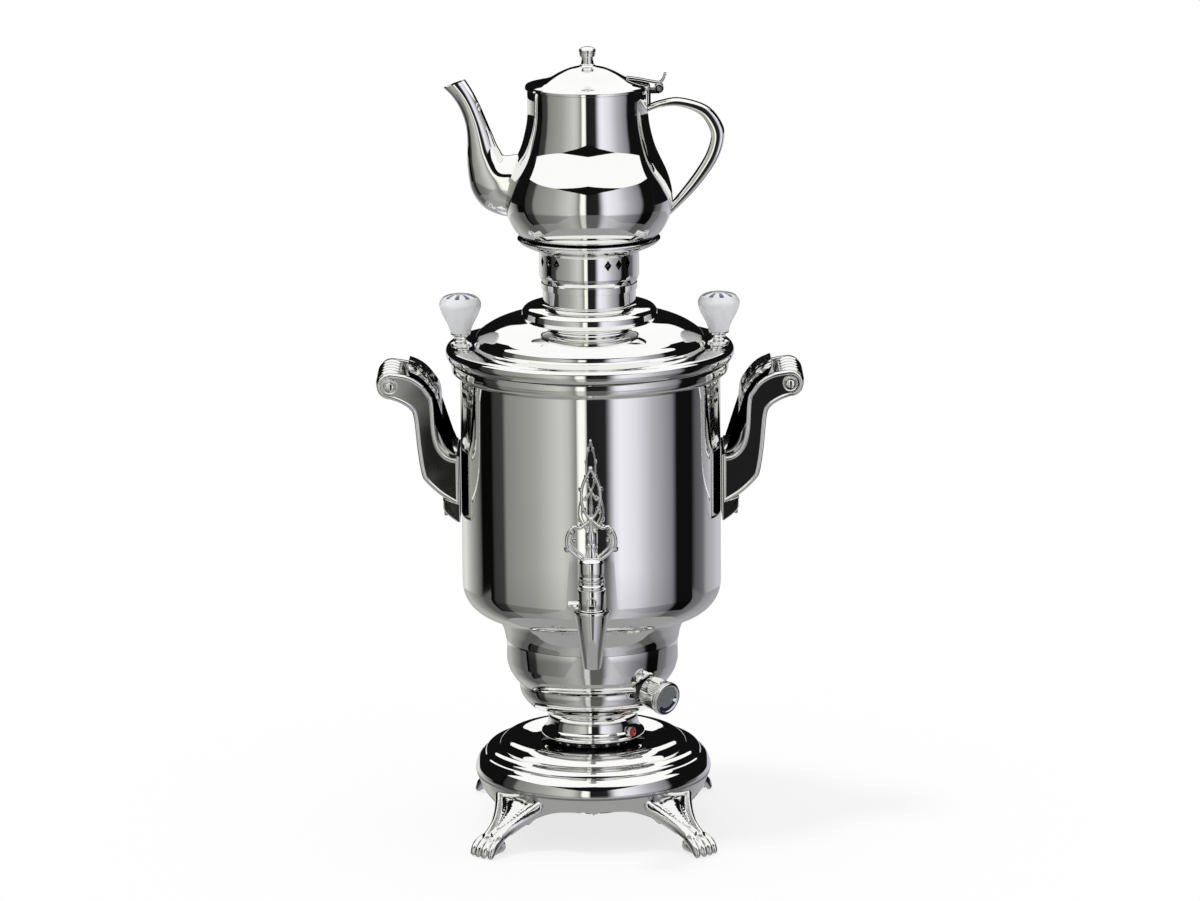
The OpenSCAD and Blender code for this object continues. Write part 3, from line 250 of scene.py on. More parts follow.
for name, turn in (("foot_front_left", -42), ("foot_front_right", 42),
                   ("foot_rear_left", 222), ("foot_rear_right", 138)):
    foot = bmesh.new()
    place = Matrix.Rotation(math.radians(turn), 4, "Z")
    for side in (-1, 1):
        vein(foot, [(side * 20, -82, 33, 3.2, 2, 5), (side * 15.5, -86.5, 28.5, 3.4, 2.6, 5),
                    (side * 11, -92.5, 23.5, 3.4, 3.2, 4.8), (side * 7.2, -99.5, 18.5, 3.4, 3.6, 4.6),
                    (side * 5, -106, 14.5, 4, 4.2, 4.6), (side * 4, -111, 11.5, 4.4, 4.4, 4.8)], place)
        vein(foot, [(side * 11, -82.5, 29, 9, 1.8, 7), (side * 7, -88.5, 23.5, 7.5, 2.2, 6.4),
                    (side * 4, -96.5, 17.5, 4.6, 3, 5.6)], place)
    vein(foot, [(0, -85.5, 31, 9, 1.8, 5), (0, -91.5, 24, 5.5, 2.4, 5), (0, -101, 16.5, 3.6, 3.6, 5),
                (0, -107.5, 11.5, 5.4, 5.4, 6)], place)
    vein(foot, [(0, -105, 6, 7.4, 5, 6), (0, -110, 7, 9, 6, 7), (0, -114, 5.6, 9.4, 5, 5.6)], place)
    for toe in (-1.5, -0.5, 0.5, 1.5):
        bow = abs(toe) * 1.2
        vein(foot, [(toe * 4.4, -109, 12, 2.7, 3, 3.4), (toe * 5, -115.5 + bow, 10.4, 2.9, 3.2, 3.8),
                    (toe * 5.5, -120.5 + bow, 6.8, 2.8, 3.2, 4.2),
                    (toe * 5.6, -123 + bow, 3.4, 2.4, 2.7, 3.3)], place)
    foot_piece = piece(name + "_cast", foot, cast_chrome, "urn", "chromed_steel", name, sharp=60)
    cast_skin(foot_piece, 0.7, 2)


# ---- Waist ring ----
# Spun collar with one round bead between the dome and the bowl; the pilot lamp looks out of its
# right side.
waist = bmesh.new()
waist_outside = curve([(32, 64), (33, 67), (37.4, 70), (38, 72), (34.6, 75.5), (33, 81), (33.3, 85.5),
                       (34.4, 89)], 8)
turned(waist, walled(waist_outside, 1.2))
piece("waist_collar", waist, polished_chrome, "urn", "chromed_steel", "waist_ring")


# ---- Lower housing and funnel ----
# Bowl, stepped cup and funnel of spun steel that carry the tank and hide the heater's wires.
# The tie rod draws them together between the waist ring and the tank's bottom.
housing_outside = (
    [(37, 89)]
    + curve([(37.5, 89.2), (44.7, 92.1), (50.1, 97.4), (53.3, 103.5), (53.7, 110.4)], 8)
    + curve([(55.1, 111), (57.9, 114.5), (61.1, 120), (63, 127)], 8)
    + [(63, 142.6)])
housing = bmesh.new()
turned(housing, walled(housing_outside, 1.0))
piece("housing_shell", housing, polished_chrome, "urn", "chromed_steel", "lower_housing")

funnel = bmesh.new()
turned(funnel, walled(curve([(63.6, 143), (65, 149.8), (68, 157.1), (70.6, 161.9)], 8), 1.0))
piece("funnel_shell", funnel, polished_chrome, "urn", "chromed_steel", "lower_funnel")


# ---- Tank and its bead ----
# Deep-drawn tank with a rounded bottom corner. The bead is a rolled band round its top edge
# on which the lid's flange rests.
tank_corner = [(71 + 24 * math.cos(a), 186 + 24 * math.sin(a))
               for a in (math.radians(-90 + 90 * k / 16) for k in range(17))]
tank_outside = [(0.0, 162.0)] + tank_corner + [(95.0, 262.0), (95.0, 351.8)]
tank = bmesh.new()
turned(tank, walled(tank_outside, 1.0), 256)
piece("tank_shell", tank, polished_chrome, "urn", "chromed_steel", "tank")

rim = bmesh.new()
rim_outside = curve([(95.1, 340), (97.4, 341.2), (100.4, 343.6), (101, 346.6), (101, 349.6),
                     (100.2, 352), (98.5, 353)], 8)
turned(rim, rim_outside + [(94, 353), (94, 352), (95.1, 352)], 256)
piece("tank_bead", rim, polished_chrome, "urn", "chromed_steel", "top_rim")


# ---- Heater, tie rod and other inner pieces ----
# Pieces inside the tank and under it keep their modelled form: drawn steel, brass, black
# moulded plastic and rubber, all plain finishes.
def plain(name, colour, gloss, metallic, grain_mm=3.0, grain=0.12):
    """A plain finish with a fine grain in its gloss."""
    made, tree = finish_tree(name)
    place = add(tree, "TexCoord")
    speck = add(tree, "TexNoise", [("Vector", place.outputs["Object"])],
                Scale=1000 / grain_mm, Detail=2.0)
    rough = add(tree, "MapRange", [("Value", speck)],
                To_Min=gloss - grain / 2, To_Max=gloss + grain / 2)
    body = add(tree, "BsdfPrincipled", [("Roughness", rough)],
               Base_Color=linear(colour), Metallic=metallic)
    add(tree, "OutputMaterial", [("Surface", body)])
    return made


# Drawn steel of rods and screws: grey with a dull shine
drawn_steel = plain("drawn_steel", "b9bab9", 0.3, 1.0)
# Turned brass: warm yellow, half bright
turned_brass = plain("turned_brass", "c9a255", 0.28, 1.0)
# Black moulded plastic: deep grey-black, soft gloss
moulded_black = plain("moulded_black_plastic", "17181a", 0.42, 0.0)
# Grey paint of the plate under the stand
painted_grey = plain("painted_grey_plate", "6d7072", 0.5, 0.0)
# Seal rubber: matt near-black
seal_rubber = plain("seal_rubber", "202022", 0.75, 0.0)

for finish, names in (
        (drawn_steel, "cover_plate_screws foot_screws tie_rod tie_rod_nuts heating_element handle_screws "
                      "thermostat_spindle lid_knob_screws hinge_pin lid_locating_ring"),
        (turned_brass, "element_nuts tap_nut tap_plug"),
        (moulded_black, "thermal_cutout thermostat_body thermostat_socket"),
        (painted_grey, "cover_plate"),
        (seal_rubber, "tap_seal")):
    for name in names.split():
        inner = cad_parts[name]
        inner.data.materials.clear()
        inner.data.materials.append(finish)


# ---- Tap ----
# Chromed brass tap: a barrel on a shank through the tank's wall, a gland, and a long tapered
# nozzle. The rosette lies on the tank.
def slab(bm, outline, y0, y1, edge=0.7):
    """A plate with soft edges, drawn in X and Z and reaching from y0 to y1."""
    area = sum(a[0] * b[1] - b[0] * a[1] for a, b in zip(outline, outline[1:] + outline[:1]))
    loops = []
    for y, inward in ((y0, edge + 0.3), (y0, edge), (y0 + edge * 0.3, edge * 0.3), (y0 + edge, 0),
                      (y1 - edge, 0), (y1 - edge * 0.3, edge * 0.3), (y1, edge), (y1, edge + 0.3)):
        loop = []
        for i, p in enumerate(outline):
            after, before = outline[(i + 1) % len(outline)], outline[i - 1]
            run = (Vector(after) - Vector(before)).normalized() * (1 if area > 0 else -1)
            loop.append(bm.verts.new(Vector((p[0] - inward * run[1], y, p[1] + inward * run[0])) * mm))
        loops.append(loop)
    for loop, beyond in zip(loops, loops[1:]):
        skin_between(bm, loop, beyond)
    bm.faces.new(loops[0][::-1])
    bm.faces.new(loops[-1])


def rod(bm, path, radius, depth=None, across=Vector((0, 1, 0)), sides=14, shut=False):
    """A bar swept along a path in mm; radius may change along it, depth is its half size across."""
    count = len(path)
    path = [Vector(p) for p in path]
    rings = []
    for i, at in enumerate(path):
        after, before = (i + 1) % count if shut else min(i + 1, count - 1), i - 1 if shut else max(i - 1, 0)
        side = (path[after] - path[before]).normalized().cross(across).normalized()
        r = radius[i] if isinstance(radius, (list, tuple)) else radius
        d = r if depth is None else depth
        rings.append([bm.verts.new((at + side * r * math.cos(a) + across * d * math.sin(a)) * mm)
                      for a in (2 * math.pi * k / sides for k in range(sides))])
    pairs = list(zip(rings, rings[1:])) + ([(rings[-1], rings[0])] if shut else [])
    for ring, beyond in pairs:
        skin_between(bm, ring, beyond)
    if not shut:
        bm.faces.new(rings[0][::-1])
        bm.faces.new(rings[-1])


tap_y = -140
shank_z = 206
shank_bore = 4
tap_axis = Matrix.Translation((0, tap_y, 0))
shank_axis = Matrix.Translation((0, 0, shank_z)) @ Matrix.Rotation(math.radians(90), 4, "X")
# Sharp mirror whose gloss drifts a little over small patches, on a very slightly wavy skin
turned_chrome = chrome("turned_chrome", "eeeeec", 0.03, 0.07, 14, 0.006)

tap = bmesh.new()
turned(tap, [(6.1, 199), (6.1, 213.1), (9.5, 213.1), (10.0, 212.8), (10.2, 212.3), (10.2, 198.6),
             (10.0, 197.9), (9.4, 197.5), (4, 197.5), (4, 199)], 96, tap_axis)
turned(tap, [(shank_bore, 131), (6.5, 131), (6.5, 84), (6.3, 82.2), (shank_bore, 82)], 72, shank_axis)
turned(tap, [(0, 9), (2.6, 9), (3.2, 9.6), (3.2, 16), (2.9, 16.8), (2.2, 17.1), (0, 17.2)], 40,
       Matrix.Translation((0, tap_y, 200.9)) @ Matrix.Rotation(math.radians(-90), 4, "Y"))
piece("tap_barrel_cast", tap, turned_chrome, "urn", "chromed_steel", "tap_body")

rosette = bmesh.new()
turned(rosette, [(6.8, 99), (7.6, 99), (8.4, 98.6), (9.1, 97.6), (9.1, 96.2), (9.7, 95.8), (9.7, 93.6),
                 (6.8, 94.9)], 96, shank_axis)
piece("tap_rosette", rosette, turned_chrome, "urn", "chromed_steel", "tap_escutcheon")

gland = bmesh.new()
turned(gland, curve([(4.6, 213.1), (7.6, 213.1), (8.8, 213.8), (9.1, 215), (8.5, 216.3), (7.7, 217),
                     (8.3, 218), (7.9, 219.1), (4.6, 219.1)], 5), 96, tap_axis)
piece("tap_gland_ring", gland, turned_chrome, "urn", "chromed_steel", "tap_gland")

nozzle = bmesh.new()
turned(nozzle, [(5, 155), (6.1, 155), (6.5, 155.5), (12.1, 193.6), (12.5, 194.8), (12.7, 195.4),
                (12.7, 196.6), (12.3, 197.4), (4, 197.5), (4, 192), (5, 191.5)], 96, tap_axis)
piece("tap_nozzle_cone", nozzle, turned_chrome, "urn", "chromed_steel", "tap_nozzle")

# An arched recess in the barrel's front, its dark inside drawn as a near-black plate of painted shade, with a
# raised rim and a small stop in it
recess_painted_shade = plain("painted_shade_recess", "0b0b0c", 0.5, 0.0)
recess_half, recess_low, arch_z = 3.2, 199.7, 205.2
recess_outline = [(-recess_half, recess_low), (recess_half, recess_low), (recess_half, arch_z)] + [
    (recess_half * math.cos(a), arch_z + recess_half * math.sin(a))
    for a in (math.pi * k / 12 for k in range(1, 12))
] + [(-recess_half, arch_z)]


def on_barrel(x, z, lift):
    return Vector((x, tap_y - math.sqrt(lift ** 2 - x * x), z))


recess = bmesh.new()
recess_rows = [[recess.verts.new(on_barrel(x, z, lift) * mm) for x, z in recess_outline]
               for lift in (9.9, 10.3)]
skin_between(recess, *recess_rows)
recess.faces.new(recess_rows[1])
recess.faces.new(recess_rows[0][::-1])
piece("tap_barrel_recess", recess, recess_painted_shade, "urn", "chromed_steel")
trim = bmesh.new()
rod(trim, [on_barrel(x, z, 10.3) for x, z in recess_outline], 0.5, 0.5, sides=8, shut=True)
slab(trim, [(-2, 200.2), (2, 200.2), (2, 202.8), (-2, 202.8)], tap_y - 11, tap_y - 9.8, 0.3)
piece("tap_recess_trim", trim, turned_chrome, "urn", "chromed_steel")


# ---- Tap key ----
# Pierced key cast in brass and chromed: a lyre with curled ends round a stem, and a pointed loop
# over it. The socket under it grips the plug.
def in_key(side, u, v):
    return Vector((side * u * 36, tap_y, 235.3 + v * 66))


key = bmesh.new()
turned(key, [(4.6, 219.3), (7.6, 219.3)] + curve([(8, 219.4), (8.9, 220.4), (8.8, 221.6), (8.5, 222.5),
       (8.8, 224), (8.9, 226), (8.9, 231), (8.4, 233.2), (7.2, 235), (5, 236.1), (0, 236.3)], 5)
       + [(0, 229), (4.6, 229)], 96, tap_axis)
for side in (-1, 1):
    lyre = curve([in_key(side, u, v) for u, v in (
        (0.21, -0.01), (0.36, 0.055), (0.465, 0.12), (0.485, 0.19), (0.44, 0.28), (0.34, 0.34), (0.22, 0.33),
        (0.12, 0.365), (0, 0.42))], 6)
    rod(key, lyre, 1.2, 1.7)
    rod(key, curve([in_key(side, u, v) for u, v in ((0.11, 0), (0.25, 0.065), (0.35, 0.13), (0.385, 0.2),
                                                  (0.33, 0.27))], 6), 0.9, 1.5)
    loop = curve([in_key(side, u, v) for u, v in (
        (0, 0.42), (0.085, 0.475), (0.165, 0.575), (0.185, 0.69), (0.15, 0.81), (0.07, 0.91), (0, 0.975))], 6)
    rod(key, loop, 1.1, 1.6)
    for u, v, curl, spin in ((0.475, 0.105, 2.4, 200), (0.38, 0.29, 2.7, 60), (0.24, 0.345, 2.3, 110),
                             (0.33, 0.2, 1.8, 250), (0.15, 0.53, 2.0, 60), (0.19, 0.76, 1.7, 250),
                             (0.085, 0.9, 1.6, 200)):
        centre = in_key(side, u, v)
        scroll = [centre + Vector((side * r * math.cos(a), 0, r * math.sin(a)))
                  for r, a in ((curl * (1 - 0.06 * k), math.radians(spin + 26 * k)) for k in range(14))]
        rod(key, scroll, 0.75, 1.5, sides=10)
        blob(key, scroll[-1], (1.15, 1.7, 1.15), rings=8, sides=12)
rod(key, curve([Vector((0, tap_y, z)) for z in (234, 240, 244, 248, 252, 258, 262.5)], 4),
    [3.6, 3.5, 3.4, 3.3, 3.1, 2.8, 2.6, 2.4, 1.8, 1.7, 2.0, 2.3, 2.5, 2.7, 2.8, 2.7, 2.5, 2.2, 1.8, 1.6, 1.4,
     1.2, 1.1, 1.0, 1.0], 1.8)
for z, r in ((263, 2.5), (300.1, 1.8), (243.6, 3.5)):
    blob(key, (0, tap_y, z), (r, 2, r * 0.9))
piece("tap_key_pierced", key, turned_chrome, "tap_handle", "chromed_steel", "tap_key", sharp=50)


# ---- Thermostat knob and pilot lamp ----
# Chromed knob with fine ribs round its side, a rim of two rings and a silver face with a
# dark blue scale arc and a white pointer. The lamp is a red moulded lens in the waist.
knob_axis = (Matrix.Rotation(math.radians(43), 4, "Z") @ Matrix.Translation((0, -53.7, 113.7))
             @ Matrix.Rotation(math.radians(99), 4, "X"))
knob = bmesh.new()
ribs = 60
rows = []
for at, r, rib in ((8, 10.6, 0), (8.6, 11.4, 0), (9.2, 11.7, 0.35), (22, 11.9, 0.35), (22.6, 11.4, 0)):
    rows.append([knob.verts.new(knob_axis @ Vector((
        (r - rib * (k % 2)) * math.cos(a), (r - rib * (k % 2)) * math.sin(a), at)) * mm)
        for k, a in ((k, math.pi * k / ribs) for k in range(2 * ribs))])
for row, over in zip(rows, rows[1:]):
    skin_between(knob, row, over)
knob.faces.new(rows[0][::-1])
knob_rim = curve([(11, 22.4), (12.2, 22.7), (12.5, 23.6), (12.3, 24.5), (11.9, 24.9), (12.3, 25.3),
                  (12.4, 26), (11.8, 26.8), (10.8, 27), (9.9, 26.6), (9.6, 26)], 4)
turned(knob, knob_rim + [(9.4, 22.4)], 96, knob_axis)
piece("thermostat_knob_shell", knob, turned_chrome, "dial", "chromed_steel", "thermostat_knob", sharp=25)


def scale_face():
    """Silver face whose lower right border is a dark blue arc, with a white pointer mark."""
    made, tree = finish_tree("printed_silver_face")
    place = add(tree, "UVMap")
    split = add(tree, "SeparateXYZ", [("Vector", place.outputs["UV"])])
    silver, blue, white = linear("c6c7c9"), linear("14244f"), linear("f2f2f0")
    out = add(tree, "Math", [(0, split.outputs["Y"])], operation="GREATER_THAN", in1=0.7)
    first = add(tree, "Math", [(0, split.outputs["X"])], operation="GREATER_THAN", in1=0.62)
    arc = add(tree, "Math", [(0, out), (1, first)], operation="MULTIPLY")
    base = add(tree, "Mix", [("Factor", arc)], data_type="RGBA", in6=silver, in7=blue)
    from_mark = add(tree, "Math", [(0, split.outputs["X"])], operation="SUBTRACT", in1=0.955)
    near = add(tree, "Math", [(0, from_mark)], operation="ABSOLUTE")
    slim = add(tree, "Math", [(0, near)], operation="LESS_THAN", in1=0.022)
    reach = add(tree, "Math", [(0, split.outputs["Y"])], operation="GREATER_THAN", in1=0.38)
    mark = add(tree, "Math", [(0, slim), (1, reach)], operation="MULTIPLY")
    inked = add(tree, "Mix", [("Factor", mark), (6, base.outputs[2])], data_type="RGBA", in7=white)
    shine = add(tree, "Math", [(0, arc)], operation="MULTIPLY_ADD", in1=-0.8, in2=0.8)
    face = add(tree, "BsdfPrincipled",
               [("Base Color", inked.outputs[2]), ("Metallic", shine)], Roughness=0.3)
    add(tree, "OutputMaterial", [("Surface", face)])
    return made


dial = bmesh.new()
layer = dial.loops.layers.uv.new("face")
dial_z, dial_sides = 25.9, 96
dial_rings = [[dial.verts.new(knob_axis @ Vector((r * math.cos(a), r * math.sin(a), dial_z)) * mm)
               for a in (2 * math.pi * k / dial_sides for k in range(dial_sides))] for r in (0.4, 5, 9.7)]
share = {}
for ring, r in zip(dial_rings, (0.04, 0.5, 1.0)):
    for k, v in enumerate(ring):
        share[v] = (k / dial_sides, r)
for ring, beyond in zip(dial_rings, dial_rings[1:]):
    for k in range(dial_sides):
        over = (k + 1) % dial_sides
        face = dial.faces.new([ring[k], beyond[k], beyond[over], ring[over]])
        for loop in face.loops:
            u, v = share[loop.vert]
            loop[layer].uv = (1.0 if over == 0 and u == 0 else u, v)
dial.faces.new(dial_rings[0])
piece("thermostat_dial_face", dial, scale_face(), "dial", "chromed_steel")


def tinted_lens(name, colour):
    """Clear moulded lens: deep colour under a wet gloss."""
    made, tree = finish_tree(name)
    place = add(tree, "TexCoord")
    cloud = add(tree, "TexNoise", [("Vector", place.outputs["Object"])], Scale=1000 / 4)
    tint = add(tree, "Mix", [("Factor", cloud)], data_type="RGBA",
               in6=linear(colour), in7=linear("8a0f0c"))
    lens = add(tree, "BsdfPrincipled", [("Base Color", tint.outputs[2])],
               Roughness=0.12, Coat_Weight=0.6, Coat_Roughness=0.03)
    add(tree, "OutputMaterial", [("Surface", lens)])
    return made


lamp_axis = (Matrix.Rotation(math.radians(52), 4, "Z") @ Matrix.Translation((0, -36.6, 75))
             @ Matrix.Rotation(math.radians(90), 4, "X"))
lamp = bmesh.new()
turned(lamp, [(0, -9), (3.2, -9), (3.2, -0.2)]
       + [Vector((3.2 * math.cos(a), 2.4 * math.sin(a))) for a in (math.radians(9 * k) for k in range(10))]
       + [(0, 2.4)], 48, lamp_axis)
piece("pilot_lamp_lens", lamp, tinted_lens("red_lamp_lens", "d3201a"), "urn", "red_lens", "pilot_lamp")
lamp_bezel = bmesh.new()
turned(lamp_bezel, curve([(3.2, -2), (4.1, -1.6), (4.4, -0.6), (4, 0.2), (3.3, 0.3)], 4) + [(3.2, 0)],
       48, lamp_axis)
piece("pilot_lamp_bezel", lamp_bezel, turned_chrome, "urn", "chromed_steel")


# ---- Appliance inlet ----
# Moulded black inlet set in the housing's rear, where the photo doesn't show it. Three brass
# pins stand in its socket.
inlet_z = 130


def block(bm, low, high):
    """A box in mm between two corners."""
    corners = [bm.verts.new(Vector((x, y, z)) * mm) for x in (low[0], high[0])
               for y in (low[1], high[1]) for z in (low[2], high[2])]
    for quad in ((0, 1, 3, 2), (4, 6, 7, 5), (0, 4, 5, 1), (2, 3, 7, 6), (0, 2, 6, 4), (1, 5, 7, 3)):
        bm.faces.new([corners[k] for k in quad])


def rolled(made, width_mm, steps=3):
    """Rounds the piece's sharp edges."""
    edge = made.modifiers.new("rolled", "BEVEL")
    edge.width = width_mm / 1000
    edge.segments = steps
    edge.limit_method = "ANGLE"
    edge.angle_limit = math.radians(50)


def bars_round(bm, half_x, half_z, bar_x, bar_z, y0, y1):
    """Four bars round an upright opening at the inlet's height."""
    for x in (-half_x, half_x - bar_x):
        block(bm, (x, y0, inlet_z - half_z), (x + bar_x, y1, inlet_z + half_z))
    for z in (inlet_z - half_z, inlet_z + half_z - bar_z):
        block(bm, (-half_x, y0, z), (half_x, y1, z + bar_z))


inlet = bmesh.new()
bars_round(inlet, 13.5, 9.5, 2, 2, 47, 64)
block(inlet, (-13.5, 45, inlet_z - 9.5), (13.5, 50, inlet_z + 9.5))
bars_round(inlet, 17.5, 12, 6, 4.5, 63.2, 65.7)
rolled(piece("inlet_shell", inlet, moulded_black, "urn", "black_plastic", "power_inlet"), 0.4)
pins = bmesh.new()
for x in (-7, 0, 7):
    low = inlet_z - (2 if x == 0 else 5)
    block(pins, (x - 1, 49, low), (x + 1, 61, low + 4))
rolled(piece("inlet_pins", pins, turned_brass, "urn", "brass"), 0.3)


# ---- Side handles ----
# On each side: two cast cheeks with a bright edge bead, a curved band with raised ornament
# between them, and a turned grip on a rod whose caps show in the cheeks' scrolls.
def in_handle(u, v):
    return Vector((97.3 + u * 47.7, 249 + v * 88.5))


def ornamented(name, colour):
    """Chrome pressed with scrolls: raised curls about 7 mm wide, with painted shade that darkens the base
    colour in their hollows.
    """
    made, tree = finish_tree(name)
    place = add(tree, "TexCoord")
    bend = add(tree, "TexNoise", [("Vector", place.outputs["Object"])], Scale=1000 / 16)
    shift = add(tree, "VectorMath", [(0, bend.outputs["Color"])], operation="SCALE", Scale=0.012)
    moved = add(tree, "VectorMath", [(0, place.outputs["Object"]), (1, shift)], operation="ADD")
    curls = add(tree, "TexWave", [("Vector", moved)], wave_type="RINGS",
                rings_direction="SPHERICAL", Scale=1000 / 22, Distortion=2.5, Detail=1.0)
    leaves = add(tree, "TexVoronoi", [("Vector", moved)], feature="SMOOTH_F1", Scale=1000 / 7)
    height = add(tree, "Math", [(0, curls.outputs["Fac"]), (1, leaves)], operation="SUBTRACT")
    split = add(tree, "SeparateXYZ", [("Vector", place.outputs["Object"])])
    upper = add(tree, "MapRange", [("Value", split.outputs["Z"])], From_Min=0.314, From_Max=0.32)
    relief = add(tree, "Bump", [("Strength", upper), ("Height", height)], Distance=0.0008)
    # Painted shade: the relief pattern also turns the base colour to a darker grey, drawn as shade in the
    # curls' hollows
    painted_hollow_shade = add(tree, "Math", [(0, upper), (1, height)], operation="MULTIPLY")
    shade = add(tree, "Mix", [("Factor", painted_hollow_shade)], data_type="RGBA",
                in6=linear(colour), in7=linear("8b8b88"))
    metal = add(tree, "BsdfPrincipled",
                [("Base Color", shade.outputs[2]), ("Normal", relief)],
                Metallic=1.0, Roughness=0.14)
    add(tree, "OutputMaterial", [("Surface", metal)])
    return made


# Bright curls over hollows darkened with painted shade, read as pressed ornament
relief_chrome = ornamented("ornamented_chrome", "e2e2df")
# Flat cast faces that wander a little, so that reflections in them break up
wavy_chrome = chrome("flat_cast_chrome", "eeeeec", 0.03, 0.06, 24, 0.16)
grip_at = (145, 337.5)
cheek_out, cheek_in = 30, 24
cheek_low = curve([in_handle(*p) for p in (
    (0, 0), (0.26, 0.089), (0.476, 0.201), (0.54, 0.275), (0.595, 0.469), (0.644, 0.734), (0.707, 0.81),
    (0.853, 0.863))] + [Vector((grip_at[0], 328))])
cheek_scroll = [Vector((grip_at[0] + 9.5 * math.cos(a), grip_at[1] + 9.5 * math.sin(a)))
                for a in (math.radians(-75 + 15 * k) for k in range(11))]
inner_edge = [(0.532, 1.02), (0.423, 0.947), (0.35, 0.864), (0.319, 0.616), (0.262, 0.486), (0.14, 0.41)]
cheek_top = curve([Vector((grip_at[0], 347))]
                  + [in_handle(*p) for p in [(0.727, 1.081)] + inner_edge + [(0, 0.386)]])
cheek_outline = cheek_low + cheek_scroll + cheek_top
band_outside = inset(curve([in_handle(*p) for p in [(0.76, 1.088), (0.64, 1.062)] + inner_edge
                            + [(0.02, 0.388)]]), -1.7)
shoe_outline = ([(95.3, 236.5)] + curve([(97.3, 236.5), (103.3, 241.1), (107.3, 246), (107.7, 254.4)])
                + [(102.5, 252.2), (97.3, 249.6), (97.3, 285.3), (95.3, 285.3)])

for name, side in (("handle_left", -1), ("handle_right", 1)):
    def on_side(points):
        return [Vector((side * p[0], p[1])) for p in points]

    cheeks = bmesh.new()
    beads = bmesh.new()
    for low, high, face in ((-cheek_out, -cheek_in, -cheek_out), (cheek_in, cheek_out, cheek_out)):
        slab(cheeks, on_side(cheek_outline), low + (0.8 if face < 0 else 0), high - (0.8 if face > 0 else 0))
        border = inset(cheek_outline, 1.5)[1:-1]
        edge = [Vector((side * p[0], face * 0.98, p[1])) for p in border]
        rod(beads, edge, 1.5, 1.2, sides=10)
    piece(name + "_cheek_pair", cheeks, wavy_chrome, "urn", "chromed_steel", name + "_cheeks")
    piece(name + "_edge_beads", beads, turned_chrome, "urn", "chromed_steel", sharp=60)

    band = bmesh.new()
    slab(band, on_side(walled(band_outside, -3)), -cheek_in, cheek_in)
    piece(name + "_relief_band", band, relief_chrome, "urn", "chromed_steel", name + "_band")
    vines = bmesh.new()
    face_out = Vector((-side * 0.8, 0, 0.6))
    for phase in (0, math.pi):
        run = 0.0
        stem = []
        for p, q in zip(band_outside, band_outside[1:]):
            run += (q - p).length
            if run < 46:
                stem.append(Vector((side * p[0], 12 * math.sin(run * 0.27 + phase), p[1])) + face_out * 0.3)
        rod(vines, stem, 1.3, 1.1, face_out, 10)
        for at in stem[2::4]:
            blob(vines, at + Vector((0, 5 if at[1] < 0 else -5, 0)), (2.2, 3.4, 2.2), rings=8, sides=14)
    piece(name + "_vines", vines, turned_chrome, "urn", "chromed_steel", sharp=60)

    grip = bmesh.new()
    grip_axis = (Matrix.Translation((side * grip_at[0], 0, grip_at[1]))
                 @ Matrix.Rotation(math.radians(90), 4, "X"))
    beaded = []
    for i in range(5):
        mid = -cheek_in + cheek_in * 2 / 5 * (i + 0.5)
        beaded += [(6.9 + 3.6 * math.cos(a), mid + 4.7 * math.sin(a))
                   for a in (math.radians(-80 + 20 * k) for k in range(9))]
    turned(grip, [(3.1, -cheek_in)] + beaded + [(3.1, cheek_in)], 72, grip_axis)
    piece(name + "_turned_grip", grip, turned_chrome, "urn", "chromed_steel", name + "_grip")

    caps = bmesh.new()
    for face in (-1, 1):
        cap_axis = grip_axis @ Matrix.Rotation(0 if face < 0 else math.pi, 4, "X")
        turned(caps, [(0, 29), (5.2, 29), (5.5, 30), (5.5, 31.4), (5, 32.2), (4.4, 31.9), (3.8, 31),
                      (3.1, 31), (3, 32.4), (2.6, 32.9), (1.6, 33.2), (0, 33.3)], 48, cap_axis)
        turned(caps, [(0, 0), (2.9, 0), (2.9, 29.2), (0, 29.2)], 24, cap_axis)
    piece(name + "_rod_caps", caps, turned_chrome, "urn", "chromed_steel", name + "_rod")

    shoe = bmesh.new()
    slab(shoe, on_side(shoe_outline), -cheek_out, cheek_out, 0.5)
    piece(name + "_shoe", shoe, turned_chrome, "urn", "chromed_steel", name + "_base")


# ---- Shoulder lid ----
# Spun lid: a rolled flange on the tank's bead, a large dome and a small dome. A locating ring
# under it drops into the tank.
lid_outside = (
    curve([(103.8, 353), (105, 355.9), (105, 359.1), (103.6, 361.7), (101, 362.5)])
    + curve([(87, 362.5), (84.4, 363.8), (83, 368), (80.4, 371.7), (72, 377.2), (62, 381.2), (51.5, 383.5)])
    + curve([(49.9, 383.9), (49.5, 385.4), (48.7, 388.4), (46, 391.1), (40.5, 392.6), (36.4, 393)])
    + [(34.1, 393)])
lid = bmesh.new()
turned(lid, walled(lid_outside, 1.0), 256)
piece("lid_shell", lid, polished_chrome, "lid", "chromed_steel", "shoulder_lid")

neck = bmesh.new()
turned(neck, [(32.8, 387), (33.8, 387), (33.8, 393)] + curve([(36, 393), (36.2, 393.6), (35.4, 394)], 3)
       + [(33.8, 394.1), (33.8, 403.7), (33.3, 404), (32.8, 403.7)], 144)
piece("steam_neck_tube", neck, polished_chrome, "lid", "chromed_steel", "steam_neck")


